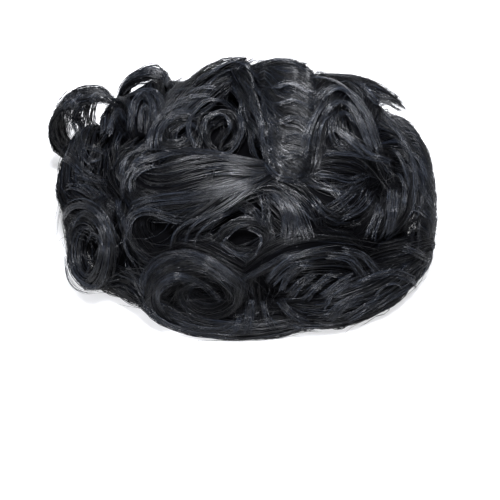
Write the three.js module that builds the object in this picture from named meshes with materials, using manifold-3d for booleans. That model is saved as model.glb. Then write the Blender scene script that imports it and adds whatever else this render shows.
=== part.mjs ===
import * as THREE from "three";
import { mergeVertices } from "three/addons/utils/BufferGeometryUtils.js";
import Module from "manifold-3d";

// A men's hairpiece lying on its rim: a domed lace base for the crown of the head, the under-hair that
// covers it, and the waves and curls of the styled hair on top. Millimetres, +Z up. The front hairline
// is at -X, the back at +X, and the near side, round 0, is at -Y.

// Lace base
const BASE_HALF_LENGTH = 98;
const BASE_HALF_WIDTH = 79;
const BASE_HEIGHT = 54;
const BASE_WALL = 1.2;
const RIM_WALL = 3;
const RIM_HEIGHT = 9;
const LACE_MARGIN = 30;
const LACE_THICKNESS = 1;
const LACE_CURL = 3;
const LACE_CURL_START = 0.55; // share of the margin
const LACE_WAVE = 0.05; // share of the margin
const LACE_WAVES = 5.4;
const LACE_FULLNESS = 0.7;
const LACE_MIDDLE_DEG = 150;
const LACE_SPREAD_DEG = 46;

// Hair
const UNDER_HAIR_DEPTH = 10;
const LOCK_DEPTH = 11;
const LOCK_WIDTH = 30;
const BACK_LOCKS = 6;
const CLEARANCE = 0.35;
const HAIR_FOOT = 1.7;

// Fineness of the faceted surfaces
const DOME_POWER = 2.5;
const BASE_SIDES = 36;
const BASE_RINGS = 7;
const HAIR_SIDES = 32;
const LOCK_SIDES = 8;
const LOCK_FULLNESS = 1.06; // brings the flat sides out to the lock's rounded form
const LOCK_END = 0.55; // share of the section that is left at a band's ends
const CURL_END = 0.45;
const CURL_TAPER = 0.25; // share of a curl's length over which its ends narrow
const STEPS_PER_ROW = 1.6;
const CURL_STEPS_PER_ROW = 1;
const CURL_ROW_DEG = 24;
const LACE_STEPS = 18;
const LACE_CELLS = 6;
const WELD = 0.002;

const RADIANS = Math.PI / 180;
const HAIR_START = CLEARANCE + UNDER_HAIR_DEPTH;
const FULL_DEPTH = HAIR_START + CLEARANCE + LOCK_DEPTH;

// Sections of a lock that lies on the dome. along is a share of the half length, round the degrees
// from the near edge over the top, lift a share of LOCK_DEPTH above the under-hair, wide a share of
// LOCK_WIDTH, thick a share of LOCK_DEPTH, and roll turns the section, in degrees. The locks listed
// first lie on top: the others give way to them.
const BAND_COLUMNS = ["along", "round", "lift", "wide", "thick", "roll"];
const BANDS = {
  claw_wisp: [
    [0.15, 70, 0.85, 0.15, 0.4, 0],
    [-0.03, 63, 0.95, 0.3, 0.5, 0],
    [-0.2, 54, 0.95, 0.4, 0.5, 10],
    [-0.33, 49, 0.8, 0.3, 0.5, 10],
    [-0.37, 42, 0.5, 0.12, 0.4, 0],
  ],
  centre_ridge: [
    [-0.03, 133, 1.5, 0.4, 1.0, 0],
    [-0.01, 118, 1.25, 0.45, 1.0, -10],
    [0.05, 98, 0.9, 0.36, 0.8, -10],
    [0.1, 86, 0.8, 0.3, 0.7, -10],
    [0.14, 77, 0.6, 0.15, 0.5, 0],
  ],
  centre_wave: [
    [0.2, 134, 1.2, 1.15, 1.1, 0],
    [0.22, 122, 1.4, 1.15, 1.2, 0],
    [0.22, 105, 1.05, 1.1, 1.1, 0],
    [0.23, 88, 0.85, 1.0, 1.0, 0],
    [0.24, 78, 0.7, 0.85, 0.9, 0],
    [0.25, 71, 0.4, 0.45, 0.6, 0],
  ],
  right_swirl: [
    [0.36, 76, 0.4, 0.4, 0.7, 0],
    [0.37, 90, 0.7, 0.6, 0.9, 0],
    [0.41, 112, 1.15, 0.8, 1.1, 0],
    [0.52, 125, 1.35, 1.0, 1.2, 0],
    [0.63, 118, 1.2, 0.9, 1.1, 0],
    [0.66, 100, 0.8, 0.6, 0.9, 0],
    [0.71, 88, 0.8, 0.35, 0.7, 0],
    [0.76, 82, 0.7, 0.1, 0.4, 0],
  ],
  swirl_heart: [
    [0.5, 106, 0.4, 0.4, 0.7, 0],
    [0.5, 98, 0.5, 0.5, 0.8, 0],
    [0.55, 90, 0.5, 0.5, 0.8, 0],
    [0.63, 87, 0.5, 0.3, 0.6, 0],
  ],
  big_swoop: [
    [-0.5, 87, 0.4, 0.35, 0.7, 0],
    [-0.59, 80, 0.55, 0.5, 0.9, 0],
    [-0.55, 69, 0.6, 0.85, 1.0, 0],
    [-0.4, 65, 0.65, 1.2, 1.0, 0],
    [-0.2, 69, 0.65, 1.2, 1.0, 0],
    [0.0, 72, 0.6, 0.75, 0.9, 0],
    [0.13, 74, 0.4, 0.25, 0.6, 0],
  ],
  back_left_sweep: [
    [-0.46, 98, 0.4, 0.5, 0.8, 0],
    [-0.37, 109, 0.5, 0.95, 1.0, 0],
    [-0.24, 121, 0.85, 1.2, 1.1, 0],
    [-0.09, 128, 1.2, 1.0, 1.2, 0],
  ],
  highlight_fan: [
    [0.05, 67, 0.4, 0.35, 0.7, 0],
    [0.16, 64, 0.6, 0.75, 0.9, 0],
    [0.27, 57, 0.7, 0.95, 1.0, 0],
    [0.34, 50, 0.6, 0.8, 0.9, 0],
    [0.39, 43, 0.35, 0.3, 0.6, 0],
  ],
  smile_wave: [
    [0.3, 68, 0.3, 0.5, 0.6, 0],
    [0.38, 62, 0.5, 0.7, 0.8, 0],
    [0.49, 59, 0.6, 0.8, 0.9, 0],
    [0.61, 62, 0.55, 0.7, 0.8, 0],
    [0.7, 71, 0.35, 0.4, 0.6, 0],
  ],
  smooth_valley: [
    [0.34, 75, 0.3, 0.4, 0.5, 0],
    [0.46, 79, 0.4, 0.7, 0.7, 0],
    [0.58, 79, 0.4, 0.7, 0.7, 0],
    [0.69, 75, 0.3, 0.4, 0.5, 0],
  ],
  right_inner_band: [
    [0.74, 122, 0.6, 0.45, 0.8, 0],
    [0.83, 106, 0.9, 0.6, 1.0, 0],
    [0.89, 84, 1.0, 0.7, 1.0, 0],
    [0.87, 66, 1.0, 0.75, 1.0, 0],
    [0.78, 57, 0.85, 0.8, 1.0, 0],
    [0.67, 50, 0.5, 0.6, 0.8, 0],
  ],
  right_outer_band: [
    [0.84, 128, 1.0, 0.6, 1.1, 0],
    [0.92, 111, 1.15, 0.7, 1.2, 0],
    [0.955, 86, 1.0, 0.8, 1.2, 0],
    [0.965, 56, 1.0, 0.8, 1.2, 0],
    [0.955, 30, 0.9, 0.75, 1.1, 0],
    [0.91, 10, 1.05, 0.6, 1.0, 0],
  ],
  lower_right_arch: [
    [0.01, 31, 0.5, 0.3, 0.7, 0],
    [0.15, 39, 0.8, 0.5, 0.9, 0],
    [0.29, 42, 0.95, 0.6, 1.0, 0],
    [0.45, 43, 0.95, 0.6, 1.0, 0],
    [0.6, 39, 0.8, 0.5, 0.9, 0],
    [0.71, 30, 0.5, 0.25, 0.6, 0],
  ],
  lower_right_inner: [
    [0.13, 24, 0.4, 0.3, 0.6, 0],
    [0.2, 33, 0.6, 0.45, 0.8, 0],
    [0.34, 36, 0.7, 0.5, 0.9, 0],
    [0.5, 35, 0.7, 0.5, 0.9, 0],
    [0.62, 29, 0.6, 0.4, 0.7, 0],
  ],
  lower_lobe: [
    [0.2, 12, 0.6, 0.4, 0.8, 0],
    [0.34, 11, 1.0, 0.75, 1.2, 0],
    [0.52, 12, 1.05, 0.95, 1.4, 0],
    [0.69, 14, 1.1, 0.9, 1.3, 0],
    [0.84, 17, 1.15, 0.7, 1.2, 0],
    [0.93, 21, 0.9, 0.35, 0.8, 0],
  ],
  lower_centre_band: [
    [-0.4, 43, 0.35, 0.3, 0.6, 0],
    [-0.26, 43, 0.5, 0.45, 0.8, 0],
    [-0.1, 38, 0.55, 0.45, 0.8, 0],
    [0.02, 32, 0.4, 0.3, 0.6, 0],
  ],
  right_corner: [
    [0.6, 27, 0.5, 0.35, 0.6, 0],
    [0.73, 29, 0.85, 0.5, 0.9, 0],
    [0.86, 30, 1.15, 0.5, 1.0, 0],
    [0.96, 22, 1.25, 0.35, 0.9, 0],
  ],
  hem_wave: [
    [-0.42, 7, 0.6, 0.35, 0.8, 0],
    [-0.25, 4, 0.85, 0.55, 1.1, 0],
    [-0.06, 3, 0.95, 0.65, 1.2, 0],
    [0.14, 4, 0.9, 0.6, 1.2, 0],
    [0.32, 6, 0.75, 0.4, 0.9, 0],
  ],
  valley_fan: [
    [0.05, 30, 0.3, 0.35, 0.6, 0],
    [0.07, 22, 0.5, 0.7, 0.8, 0],
    [0.08, 12, 0.5, 0.85, 0.9, 0],
    [0.07, 5, 0.4, 0.7, 0.8, 0],
  ],
  left_barrel: [
    [-0.45, 60, 0.4, 0.35, 0.7, 0],
    [-0.55, 55, 0.6, 0.5, 0.9, 0],
    [-0.57, 46, 0.6, 0.55, 0.9, 0],
    [-0.5, 38, 0.45, 0.45, 0.8, 0],
    [-0.42, 37, 0.3, 0.25, 0.6, 0],
  ],
  front_fall: [
    [-0.87, 122, 0.9, 0.75, 1.1, 0],
    [-0.89, 98, 1.15, 0.95, 1.2, 0],
    [-0.9, 79, 1.15, 1.0, 1.2, 0],
    [-0.88, 65, 1.05, 0.9, 1.1, 0],
    [-0.79, 57, 0.5, 0.5, 0.7, 0],
  ],
  front_flat: [
    [-0.76, 18, 0.4, 0.45, 0.8, 0],
    [-0.66, 18, 0.45, 0.6, 0.8, 0],
    [-0.55, 16, 0.45, 0.6, 0.8, 0],
    [-0.44, 13, 0.4, 0.45, 0.7, 0],
  ],
};

// Curls that lie on the dome as flat spirals around an open eye. outer and inner are the radii of the
// first and last turn as shares of LOCK_WIDTH, from is the start angle and turn the angle covered, in
// degrees from +X towards the top, stretch widens the curl along X, and lift rises from lift to heart.
const CURL_COLUMNS = [
  "along", "round", "lift", "heart", "outer", "inner", "from", "turn", "stretch", "wide", "thick",
];
const CURLS = {
  pin_curl: [-0.12, 92, 0.55, 0.5, 0.48, 0.4, -110, -330, 0.85, 0.26, 1.1],
  eye_curl: [0.0, 46, 0.7, 0.6, 0.4, 0.36, 190, -320, 1.3, 0.14, 0.4],
  front_roll: [-0.23, 20, 0.98, 0.35, 1.0, 0.3, 235, -480, 1.13, 0.43, 1.2],
  front_curl: [-0.82, 35, 1.3, 0.6, 0.86, 0.28, 75, -430, 0.86, 0.38, 1.2],
  twin_curl: [-0.37, 91, 0.75, 0.5, 0.52, 0.26, 60, 330, 0.95, 0.34, 0.9],
  small_curl: [-0.545, 80, 0.55, 0.4, 0.34, 0.26, 100, 300, 0.85, 0.2, 0.6],
};

// Sections of a lock that stands off the dome, and of the points at the back: x, y and z are shares of
// the hair's half length, half width and height.
const LOOP_COLUMNS = ["x", "y", "z", "wide", "thick"];
const LOOP_INSIDE = 0.85; // the point that a loop stands round, as a share of the middle of its feet
const LOOPS = {
  front_loop: [
    [-1.0, 0.44, 0.1, 0.4, 0.3],
    [-1.07, 0.48, 0.28, 0.6, 0.3],
    [-1.05, 0.53, 0.52, 0.7, 0.3],
    [-0.95, 0.56, 0.67, 0.65, 0.32],
    [-0.8, 0.56, 0.7, 0.65, 0.34],
    [-0.71, 0.54, 0.6, 0.6, 0.36],
  ],
  front_curtain: [
    [-0.85, 0.56, 0.7, 0.4, 0.4],
    [-0.89, 0.54, 0.58, 0.55, 0.5],
    [-0.9, 0.47, 0.47, 0.6, 0.6],
    [-0.88, 0.36, 0.44, 0.5, 0.6],
  ],
  back_loop: [
    [-0.7, 0.57, 0.58, 0.3, 0.4],
    [-0.64, 0.61, 0.77, 0.5, 0.55],
    [-0.54, 0.62, 0.87, 0.62, 0.6],
    [-0.45, 0.61, 0.84, 0.58, 0.6],
    [-0.43, 0.58, 0.7, 0.4, 0.5],
  ],
  front_barrel: [
    [-0.52, 0.62, 0.62, 0.6, 0.5],
    [-0.58, 0.5, 0.8, 1.0, 0.55],
    [-0.58, 0.36, 0.84, 1.15, 0.55],
    [-0.56, 0.22, 0.82, 1.0, 0.6],
    [-0.55, 0.1, 0.76, 0.6, 0.6],
  ],
  back_tuft: [
    [-0.36, 0.5, 0.75, 0.5, 0.8],
    [-0.23, 0.6, 0.83, 0.7, 1.1],
    [-0.11, 0.66, 0.89, 0.55, 0.9],
    [0.01, 0.68, 0.98, 0.1, 0.3],
  ],
  back_bump: [
    [-0.01, 0.66, 0.77, 0.5, 1.1],
    [0.12, 0.71, 0.79, 0.7, 1.4],
    [0.26, 0.71, 0.8, 0.7, 1.4],
    [0.38, 0.67, 0.71, 0.5, 1.0],
  ],
  back_point: [
    [0.37, 0.65, 0.74, 0.5, 0.9],
    [0.53, 0.68, 0.7, 0.6, 1.1],
    [0.67, 0.67, 0.66, 0.6, 1.0],
    [0.79, 0.63, 0.57, 0.45, 0.8],
    [0.9, 0.58, 0.47, 0.08, 0.3],
  ],
};

// Sections of each plain lock that falls down the far side; along is measured from the lock's own place.
const BACK_FALL = [
  [0.0, 128, 0.4, 0.6, 0.8, 0],
  [0.02, 140, 0.62, 0.95, 1.25, 0],
  [-0.02, 153, 0.62, 1.0, 1.25, 0],
  [-0.01, 165, 0.5, 0.9, 1.0, 0],
  [0.03, 173, 0.35, 0.6, 0.75, 0],
];
const BACK_FALL_REACH = 0.74;

const hairColour = "#16181c";
const wasm = await Module();
wasm.setup();

function named(columns, row) {
  return Object.fromEntries(columns.map((column, i) => [column, row[i]]));
}

// Half sizes of the dome that lies this far outside the base.
function domeSize(out) {
  return new THREE.Vector3(BASE_HALF_LENGTH + out, BASE_HALF_WIDTH + out, BASE_HEIGHT + out);
}

function onDome(along, round, out) {
  const size = domeSize(out);
  const ring = (1 - Math.min(1, Math.abs(along)) ** DOME_POWER) ** (1 / DOME_POWER);
  const y = -size.y * ring * Math.cos(round * RADIANS);
  const z = size.z * ring * Math.sin(round * RADIANS);
  return new THREE.Vector3(size.x * along, y, z);
}

// The point where a ray from the origin through p meets the dome that lies this far out.
function dropOnDome(p, out) {
  const size = domeSize(out);
  const across = Math.hypot(p.y / size.y, p.z / size.z);
  const reach = Math.abs(p.x / size.x) ** DOME_POWER + across ** DOME_POWER;
  return p.clone().multiplyScalar(reach ** (-1 / DOME_POWER));
}

function domeNormal(p) {
  const size = domeSize(FULL_DEPTH);
  const y = p.y / size.y;
  const z = Math.max(p.z, 0) / size.z;
  const x = p.x / size.x;
  const across = Math.max(Math.hypot(y, z), 1e-6) ** (DOME_POWER - 2);
  const along = Math.abs(x) ** (DOME_POWER - 1) * Math.sign(x);
  return new THREE.Vector3(along / size.x, (across * y) / size.y, (across * z) / size.z).normalize();
}

function liftToOut(lift) {
  return HAIR_START + CLEARANCE + lift * LOCK_DEPTH;
}

// A solid from a geometry, with its near vertices welded and the faces that this closes dropped.
function weldedSolid(geometry) {
  const merged = mergeVertices(geometry, WELD);
  const index = merged.index.array;
  const kept = [];
  for (let i = 0; i < index.length; i += 3) {
    const [a, b, c] = [index[i], index[i + 1], index[i + 2]];
    if (a !== b && b !== c && a !== c) kept.push(a, b, c);
  }
  const vertProperties = new Float32Array(merged.attributes.position.array);
  const triVerts = new Uint32Array(kept);
  return new wasm.Manifold(new wasm.Mesh({ numProp: 3, vertProperties, triVerts }));
}

function solidOf(points, faces) {
  const geometry = new THREE.BufferGeometry();
  const numbers = points.flatMap((p) => [p.x, p.y, p.z]);
  geometry.setAttribute("position", new THREE.Float32BufferAttribute(numbers, 3));
  geometry.setIndex(faces.flat());
  const solid = weldedSolid(geometry);
  if (solid.volume() > 0) return solid;
  geometry.setIndex(faces.map(([a, b, c]) => [a, c, b]).flat());
  return weldedSolid(geometry);
}

function geometryOf(solid) {
  const made = solid.getMesh();
  const geometry = new THREE.BufferGeometry();
  geometry.setAttribute("position", new THREE.BufferAttribute(new Float32Array(made.vertProperties), 3));
  geometry.setIndex(new THREE.BufferAttribute(new Uint32Array(made.triVerts), 1));
  return geometry;
}

// Two faces for each cell of a grid whose rows hold `across` points and close on themselves.
function ringFaces(start, rows, across) {
  const faces = [];
  for (let row = 0; row + 1 < rows; row++) {
    for (let i = 0; i < across; i++) {
      const a = start + row * across + i;
      const b = start + row * across + ((i + 1) % across);
      faces.push([a, b, b + across], [a, b + across, a + across]);
    }
  }
  return faces;
}

// Rings of points up the dome, closed at the top by one point. out(share) gives the distance outside
// the base at that share of the way up.
function domeRings(sides, rings, out) {
  const points = [];
  for (let ring = 0; ring < rings; ring++) {
    const share = ring / rings;
    const size = domeSize(out(share));
    const climb = (Math.PI / 2) * share;
    for (let i = 0; i < sides; i++) {
      const angle = (2 * Math.PI * i) / sides;
      const level = Math.cos(climb);
      const ray = new THREE.Vector3(
        size.x * Math.cos(angle) * level,
        size.y * Math.sin(angle) * level,
        size.z * Math.sin(climb),
      );
      points.push(dropOnDome(ray, out(share)));
    }
  }
  points.push(new THREE.Vector3(0, 0, domeSize(out(1)).z));
  return points;
}

function domeShell(sides, rings, outer, inner) {
  const skin = domeRings(sides, rings, outer);
  const lining = domeRings(sides, rings, inner);
  const count = skin.length;
  const faces = ringFaces(0, rings, sides);
  const inside = ringFaces(count, rings, sides).map(([a, b, c]) => [a, c, b]);
  for (let i = 0; i < sides; i++) {
    const next = (i + 1) % sides;
    const top = (rings - 1) * sides;
    faces.push([top + i, top + next, count - 1]);
    inside.push([count + top + next, count + top + i, 2 * count - 1]);
    faces.push([i, count + i, count + next], [i, count + next, next]);
  }
  return solidOf([...skin, ...lining], [...faces, ...inside]);
}

// The dome filled in, down to a level below the rim.
function domeBlock(sides, rings, out) {
  const skin = domeRings(sides, rings, () => out);
  const floor = skin.slice(0, sides).map((p) => new THREE.Vector3(p.x, p.y, -FULL_DEPTH));
  const points = [...floor, ...skin, new THREE.Vector3(0, 0, -FULL_DEPTH)];
  const faces = ringFaces(0, rings + 1, sides);
  for (let i = 0; i < sides; i++) {
    const next = (i + 1) % sides;
    const top = rings * sides;
    faces.push([top + i, top + next, points.length - 2]);
    faces.push([next, i, points.length - 1]);
  }
  return solidOf(points, faces);
}

// The free edge of lace that lies in front of the hairline. It lies flat beside the rim and curls up at
// its own edge. grow thickens it by the clearance for what must stay clear of it.
function laceMargin(grow) {
  const rows = [];
  for (let i = 0; i <= LACE_STEPS; i++) {
    const swing = (i / LACE_STEPS) * 2 - 1;
    const angle = (LACE_MIDDLE_DEG + swing * LACE_SPREAD_DEG) * RADIANS;
    const wavy = 1 + LACE_WAVE * Math.sin(swing * LACE_WAVES * Math.PI);
    const reach = LACE_MARGIN * Math.cos((swing * Math.PI) / 2) ** LACE_FULLNESS * wavy;
    const ray = new THREE.Vector3(BASE_HALF_LENGTH * Math.cos(angle), BASE_HALF_WIDTH * Math.sin(angle), 0);
    const edge = dropOnDome(ray, 0);
    const outward = edge.clone().normalize();
    const top = [];
    for (let j = 0; j <= LACE_CELLS; j++) {
      const share = j / LACE_CELLS;
      const p = edge.clone().addScaledVector(outward, share * (reach + grow) - RIM_WALL / 2);
      const rise = THREE.MathUtils.smoothstep(share, LACE_CURL_START, 1) * LACE_CURL;
      p.z = LACE_THICKNESS + grow + rise * (reach / LACE_MARGIN);
      top.push(p);
    }
    const drop = new THREE.Vector3(0, 0, LACE_THICKNESS + 2 * grow);
    rows.push([...top, ...top.map((p) => p.clone().sub(drop)).reverse()]);
  }
  const width = rows[0].length;
  const faces = ringFaces(0, rows.length, width);
  const last = LACE_STEPS * width;
  for (let j = 1; j + 1 < width; j++) {
    faces.push([0, j + 1, j], [last, last + j, last + j + 1]);
  }
  return solidOf(rows.flat(), faces);
}

// A lock from its sections: an eight-sided rounded band that narrows to its two ends.
function lockSolid({ sections, stepsPerRow }, grow) {
  const steps = Math.round((sections.length - 1) * stepsPerRow);
  const line = new THREE.CatmullRomCurve3(sections.map((s) => s.p));
  const mixed = (key, t) => {
    const at = t * (sections.length - 1);
    const i = Math.min(Math.floor(at), sections.length - 2);
    return THREE.MathUtils.lerp(sections[i][key], sections[i + 1][key], at - i);
  };
  const points = [];
  for (let step = 0; step <= steps; step++) {
    const t = step / steps;
    const p = line.getPoint(t);
    const along = line.getPoint(Math.min(1, t + 0.01)).sub(line.getPoint(Math.max(0, t - 0.01))).normalize();
    const at = Math.min(Math.round(t * (sections.length - 1)), sections.length - 1);
    const up = sections[at].inside ? p.clone().sub(sections[at].inside) : domeNormal(p);
    up.addScaledVector(along, -up.dot(along)).normalize();
    up.applyAxisAngle(along, mixed("roll", t) * RADIANS);
    const side = along.clone().cross(up);
    const taper = step === 0 || step === steps ? LOCK_END : 1;
    const halfWide = taper * mixed("wide", t) / 2 + grow;
    const halfThick = taper * mixed("thick", t) / 2 + grow;
    if (step === 0) p.addScaledVector(along, -grow);
    if (step === steps) p.addScaledVector(along, grow);
    for (let i = 0; i < LOCK_SIDES; i++) {
      const angle = (2 * Math.PI * (i + 0.5)) / LOCK_SIDES;
      const corner = p.clone().addScaledVector(side, LOCK_FULLNESS * halfWide * Math.cos(angle));
      points.push(corner.addScaledVector(up, LOCK_FULLNESS * halfThick * Math.sin(angle)));
    }
  }
  const faces = ringFaces(0, steps + 1, LOCK_SIDES);
  const last = steps * LOCK_SIDES;
  for (let i = 1; i + 1 < LOCK_SIDES; i++) {
    faces.push([0, i + 1, i], [last, last + i, last + i + 1]);
  }
  return solidOf(points, faces);
}

function bandSections(rows, shift = 0) {
  const sections = rows.map((row) => {
    const s = named(BAND_COLUMNS, row);
    return {
      p: onDome(s.along + shift, s.round, liftToOut(s.lift)),
      wide: s.wide * LOCK_WIDTH,
      thick: s.thick * LOCK_DEPTH,
      roll: s.roll,
    };
  });
  return { sections, stepsPerRow: STEPS_PER_ROW };
}

function curlSections(row) {
  const s = named(CURL_COLUMNS, row);
  const centre = onDome(s.along, s.round, liftToOut(s.lift));
  const normal = domeNormal(centre);
  const across = new THREE.Vector3(1, 0, 0).addScaledVector(normal, -normal.x).normalize();
  const upward = normal.clone().cross(across);
  const count = Math.round(Math.abs(s.turn) / CURL_ROW_DEG);
  const sections = [];
  for (let i = 0; i <= count; i++) {
    const share = i / count;
    const angle = (s.from + share * s.turn) * RADIANS;
    const radius = LOCK_WIDTH * THREE.MathUtils.lerp(s.outer, s.inner, share);
    const p = centre.clone();
    p.addScaledVector(across, radius * s.stretch * Math.cos(angle));
    p.addScaledVector(upward, (radius / s.stretch) * Math.sin(angle));
    const end = THREE.MathUtils.mapLinear(Math.min(share, 1 - share), 0, CURL_TAPER, CURL_END, 1);
    sections.push({
      p: dropOnDome(p, liftToOut(THREE.MathUtils.lerp(s.lift, s.heart, share))),
      wide: s.wide * LOCK_WIDTH * Math.min(1, end),
      thick: s.thick * LOCK_DEPTH * Math.min(1, end),
      roll: 0,
    });
  }
  return { sections, stepsPerRow: CURL_STEPS_PER_ROW };
}

function loopSections(rows) {
  const size = domeSize(FULL_DEPTH);
  const spots = rows.map((row) => {
    const s = named(LOOP_COLUMNS, row);
    const p = new THREE.Vector3(s.x * size.x, s.y * size.y, s.z * size.z);
    return { p, wide: s.wide * LOCK_WIDTH, thick: s.thick * LOCK_DEPTH, roll: 0 };
  });
  const middle = spots[0].p.clone().add(spots[spots.length - 1].p).multiplyScalar(0.5);
  const inside = middle.multiplyScalar(LOOP_INSIDE);
  return { sections: spots.map((spot) => ({ ...spot, inside })), stepsPerRow: STEPS_PER_ROW };
}

function largest(solid) {
  return solid.decompose().sort((a, b) => b.volume() - a.volume())[0];
}

// The node's mesh: the largest body that the cuts leave, welded.
function meshOf(name, solid, colour, roughness) {
  const body = largest(weldedSolid(geometryOf(largest(solid))));
  const material = new THREE.MeshStandardMaterial({ color: colour, roughness, metalness: 0 });
  const mesh = new THREE.Mesh(geometryOf(body), material);
  mesh.name = name;
  return mesh;
}

const pieces = new THREE.Group();

// Base and under-hair
const rimShare = RIM_HEIGHT / BASE_HEIGHT;
function wallAt(share) {
  return THREE.MathUtils.lerp(RIM_WALL, BASE_WALL, THREE.MathUtils.smoothstep(share, 0, rimShare));
}
const cap = domeShell(BASE_SIDES, BASE_RINGS, () => 0, (share) => -wallAt(share));
pieces.add(meshOf("lace_base", cap.add(laceMargin(0)), "#4a4640", 0.8));

// What hair stays clear of: the surface below, and the free edge of lace
const floor = new THREE.BoxGeometry(8 * BASE_HALF_LENGTH, 8 * BASE_HALF_WIDTH, 2 * FULL_DEPTH);
floor.translate(0, 0, HAIR_FOOT - FULL_DEPTH);
floor.deleteAttribute("normal");
floor.deleteAttribute("uv");
const below = weldedSolid(floor).add(laceMargin(CLEARANCE));

const underHair = domeBlock(HAIR_SIDES, BASE_RINGS, HAIR_START)
  .subtract(domeBlock(BASE_SIDES, BASE_RINGS, CLEARANCE))
  .subtract(below);
pieces.add(meshOf("under_hair", underHair, hairColour, 0.5));

// Locks, each cut clear of those that lie on top of it
const keepClear = domeBlock(HAIR_SIDES, BASE_RINGS, HAIR_START + CLEARANCE).add(below);

const locks = [
  ...Object.entries(CURLS).map(([name, row]) => [name, curlSections(row)]),
  ...Object.entries(LOOPS).map(([name, rows]) => [name, loopSections(rows)]),
  ...Object.entries(BANDS).map(([name, rows]) => [name, bandSections(rows)]),
];
for (let i = 0; i < BACK_LOCKS; i++) {
  const place = BACK_FALL_REACH * ((2 * i) / (BACK_LOCKS - 1) - 1);
  locks.push([`back_fall_${i + 1}`, bandSections(BACK_FALL, place)]);
}

const taken = [];
for (const [name, lock] of locks) {
  let solid = lockSolid(lock, 0).subtract(keepClear);
  for (const other of taken) solid = solid.subtract(other);
  pieces.add(meshOf(name, solid, hairColour, 0.45));
  taken.push(lockSolid(lock, CLEARANCE));
}

// The part's origin is below the middle of the whole piece, on the surface it rests on.
const middle = new THREE.Box3().setFromObject(pieces).getCenter(new THREE.Vector3());
pieces.position.set(-middle.x, -middle.y, 0);
const hairpiece = new THREE.Group();
hairpiece.add(pieces);

export default hairpiece;
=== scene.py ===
# A toupee hairpiece of near-black curled human hair on a lace base, lying on its rim on white paper.
# The locks' tables say where each one lies on the dome; strands, cores and fly-away hairs follow them.
import math

import bpy
import mathutils
import numpy as np
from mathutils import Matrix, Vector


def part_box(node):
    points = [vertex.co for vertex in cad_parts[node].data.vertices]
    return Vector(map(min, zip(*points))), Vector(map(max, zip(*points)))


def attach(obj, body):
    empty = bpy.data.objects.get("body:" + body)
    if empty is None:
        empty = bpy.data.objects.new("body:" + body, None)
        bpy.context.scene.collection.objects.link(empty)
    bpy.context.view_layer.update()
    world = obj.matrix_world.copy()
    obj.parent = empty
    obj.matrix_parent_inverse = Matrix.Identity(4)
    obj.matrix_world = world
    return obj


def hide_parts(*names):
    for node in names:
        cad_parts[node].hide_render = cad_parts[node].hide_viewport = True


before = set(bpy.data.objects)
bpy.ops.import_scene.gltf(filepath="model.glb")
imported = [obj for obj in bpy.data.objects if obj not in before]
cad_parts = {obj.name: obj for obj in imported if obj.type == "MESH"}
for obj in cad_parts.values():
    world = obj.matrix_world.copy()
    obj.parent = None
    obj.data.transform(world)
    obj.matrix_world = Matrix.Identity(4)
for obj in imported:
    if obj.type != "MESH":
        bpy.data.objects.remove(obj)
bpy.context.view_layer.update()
bpy.ops.object.select_all(action="DESELECT")
mm = 0.001
print("frame loaded:", len(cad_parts), "nodes")

# The dome that the base, the under-hair and the locks share, in millimetres
dome = {
    "halfLength": 98,
    "halfWidth": 79,
    "height": 54,
    "power": 2.5,
    "underHairTop": 10.35,  # outside the base
    "lockStart": 10.7,  # outside the base
    "lockDepth": 11,
    "lockWidth": 30,
    "hairFoot": 1.7,  # above the surface
}
baseLow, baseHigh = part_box("lace_base")
domeCentre = np.array([baseHigh.x / mm - dome["halfLength"], baseLow.y / mm + dome["halfWidth"], 0.0])

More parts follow.
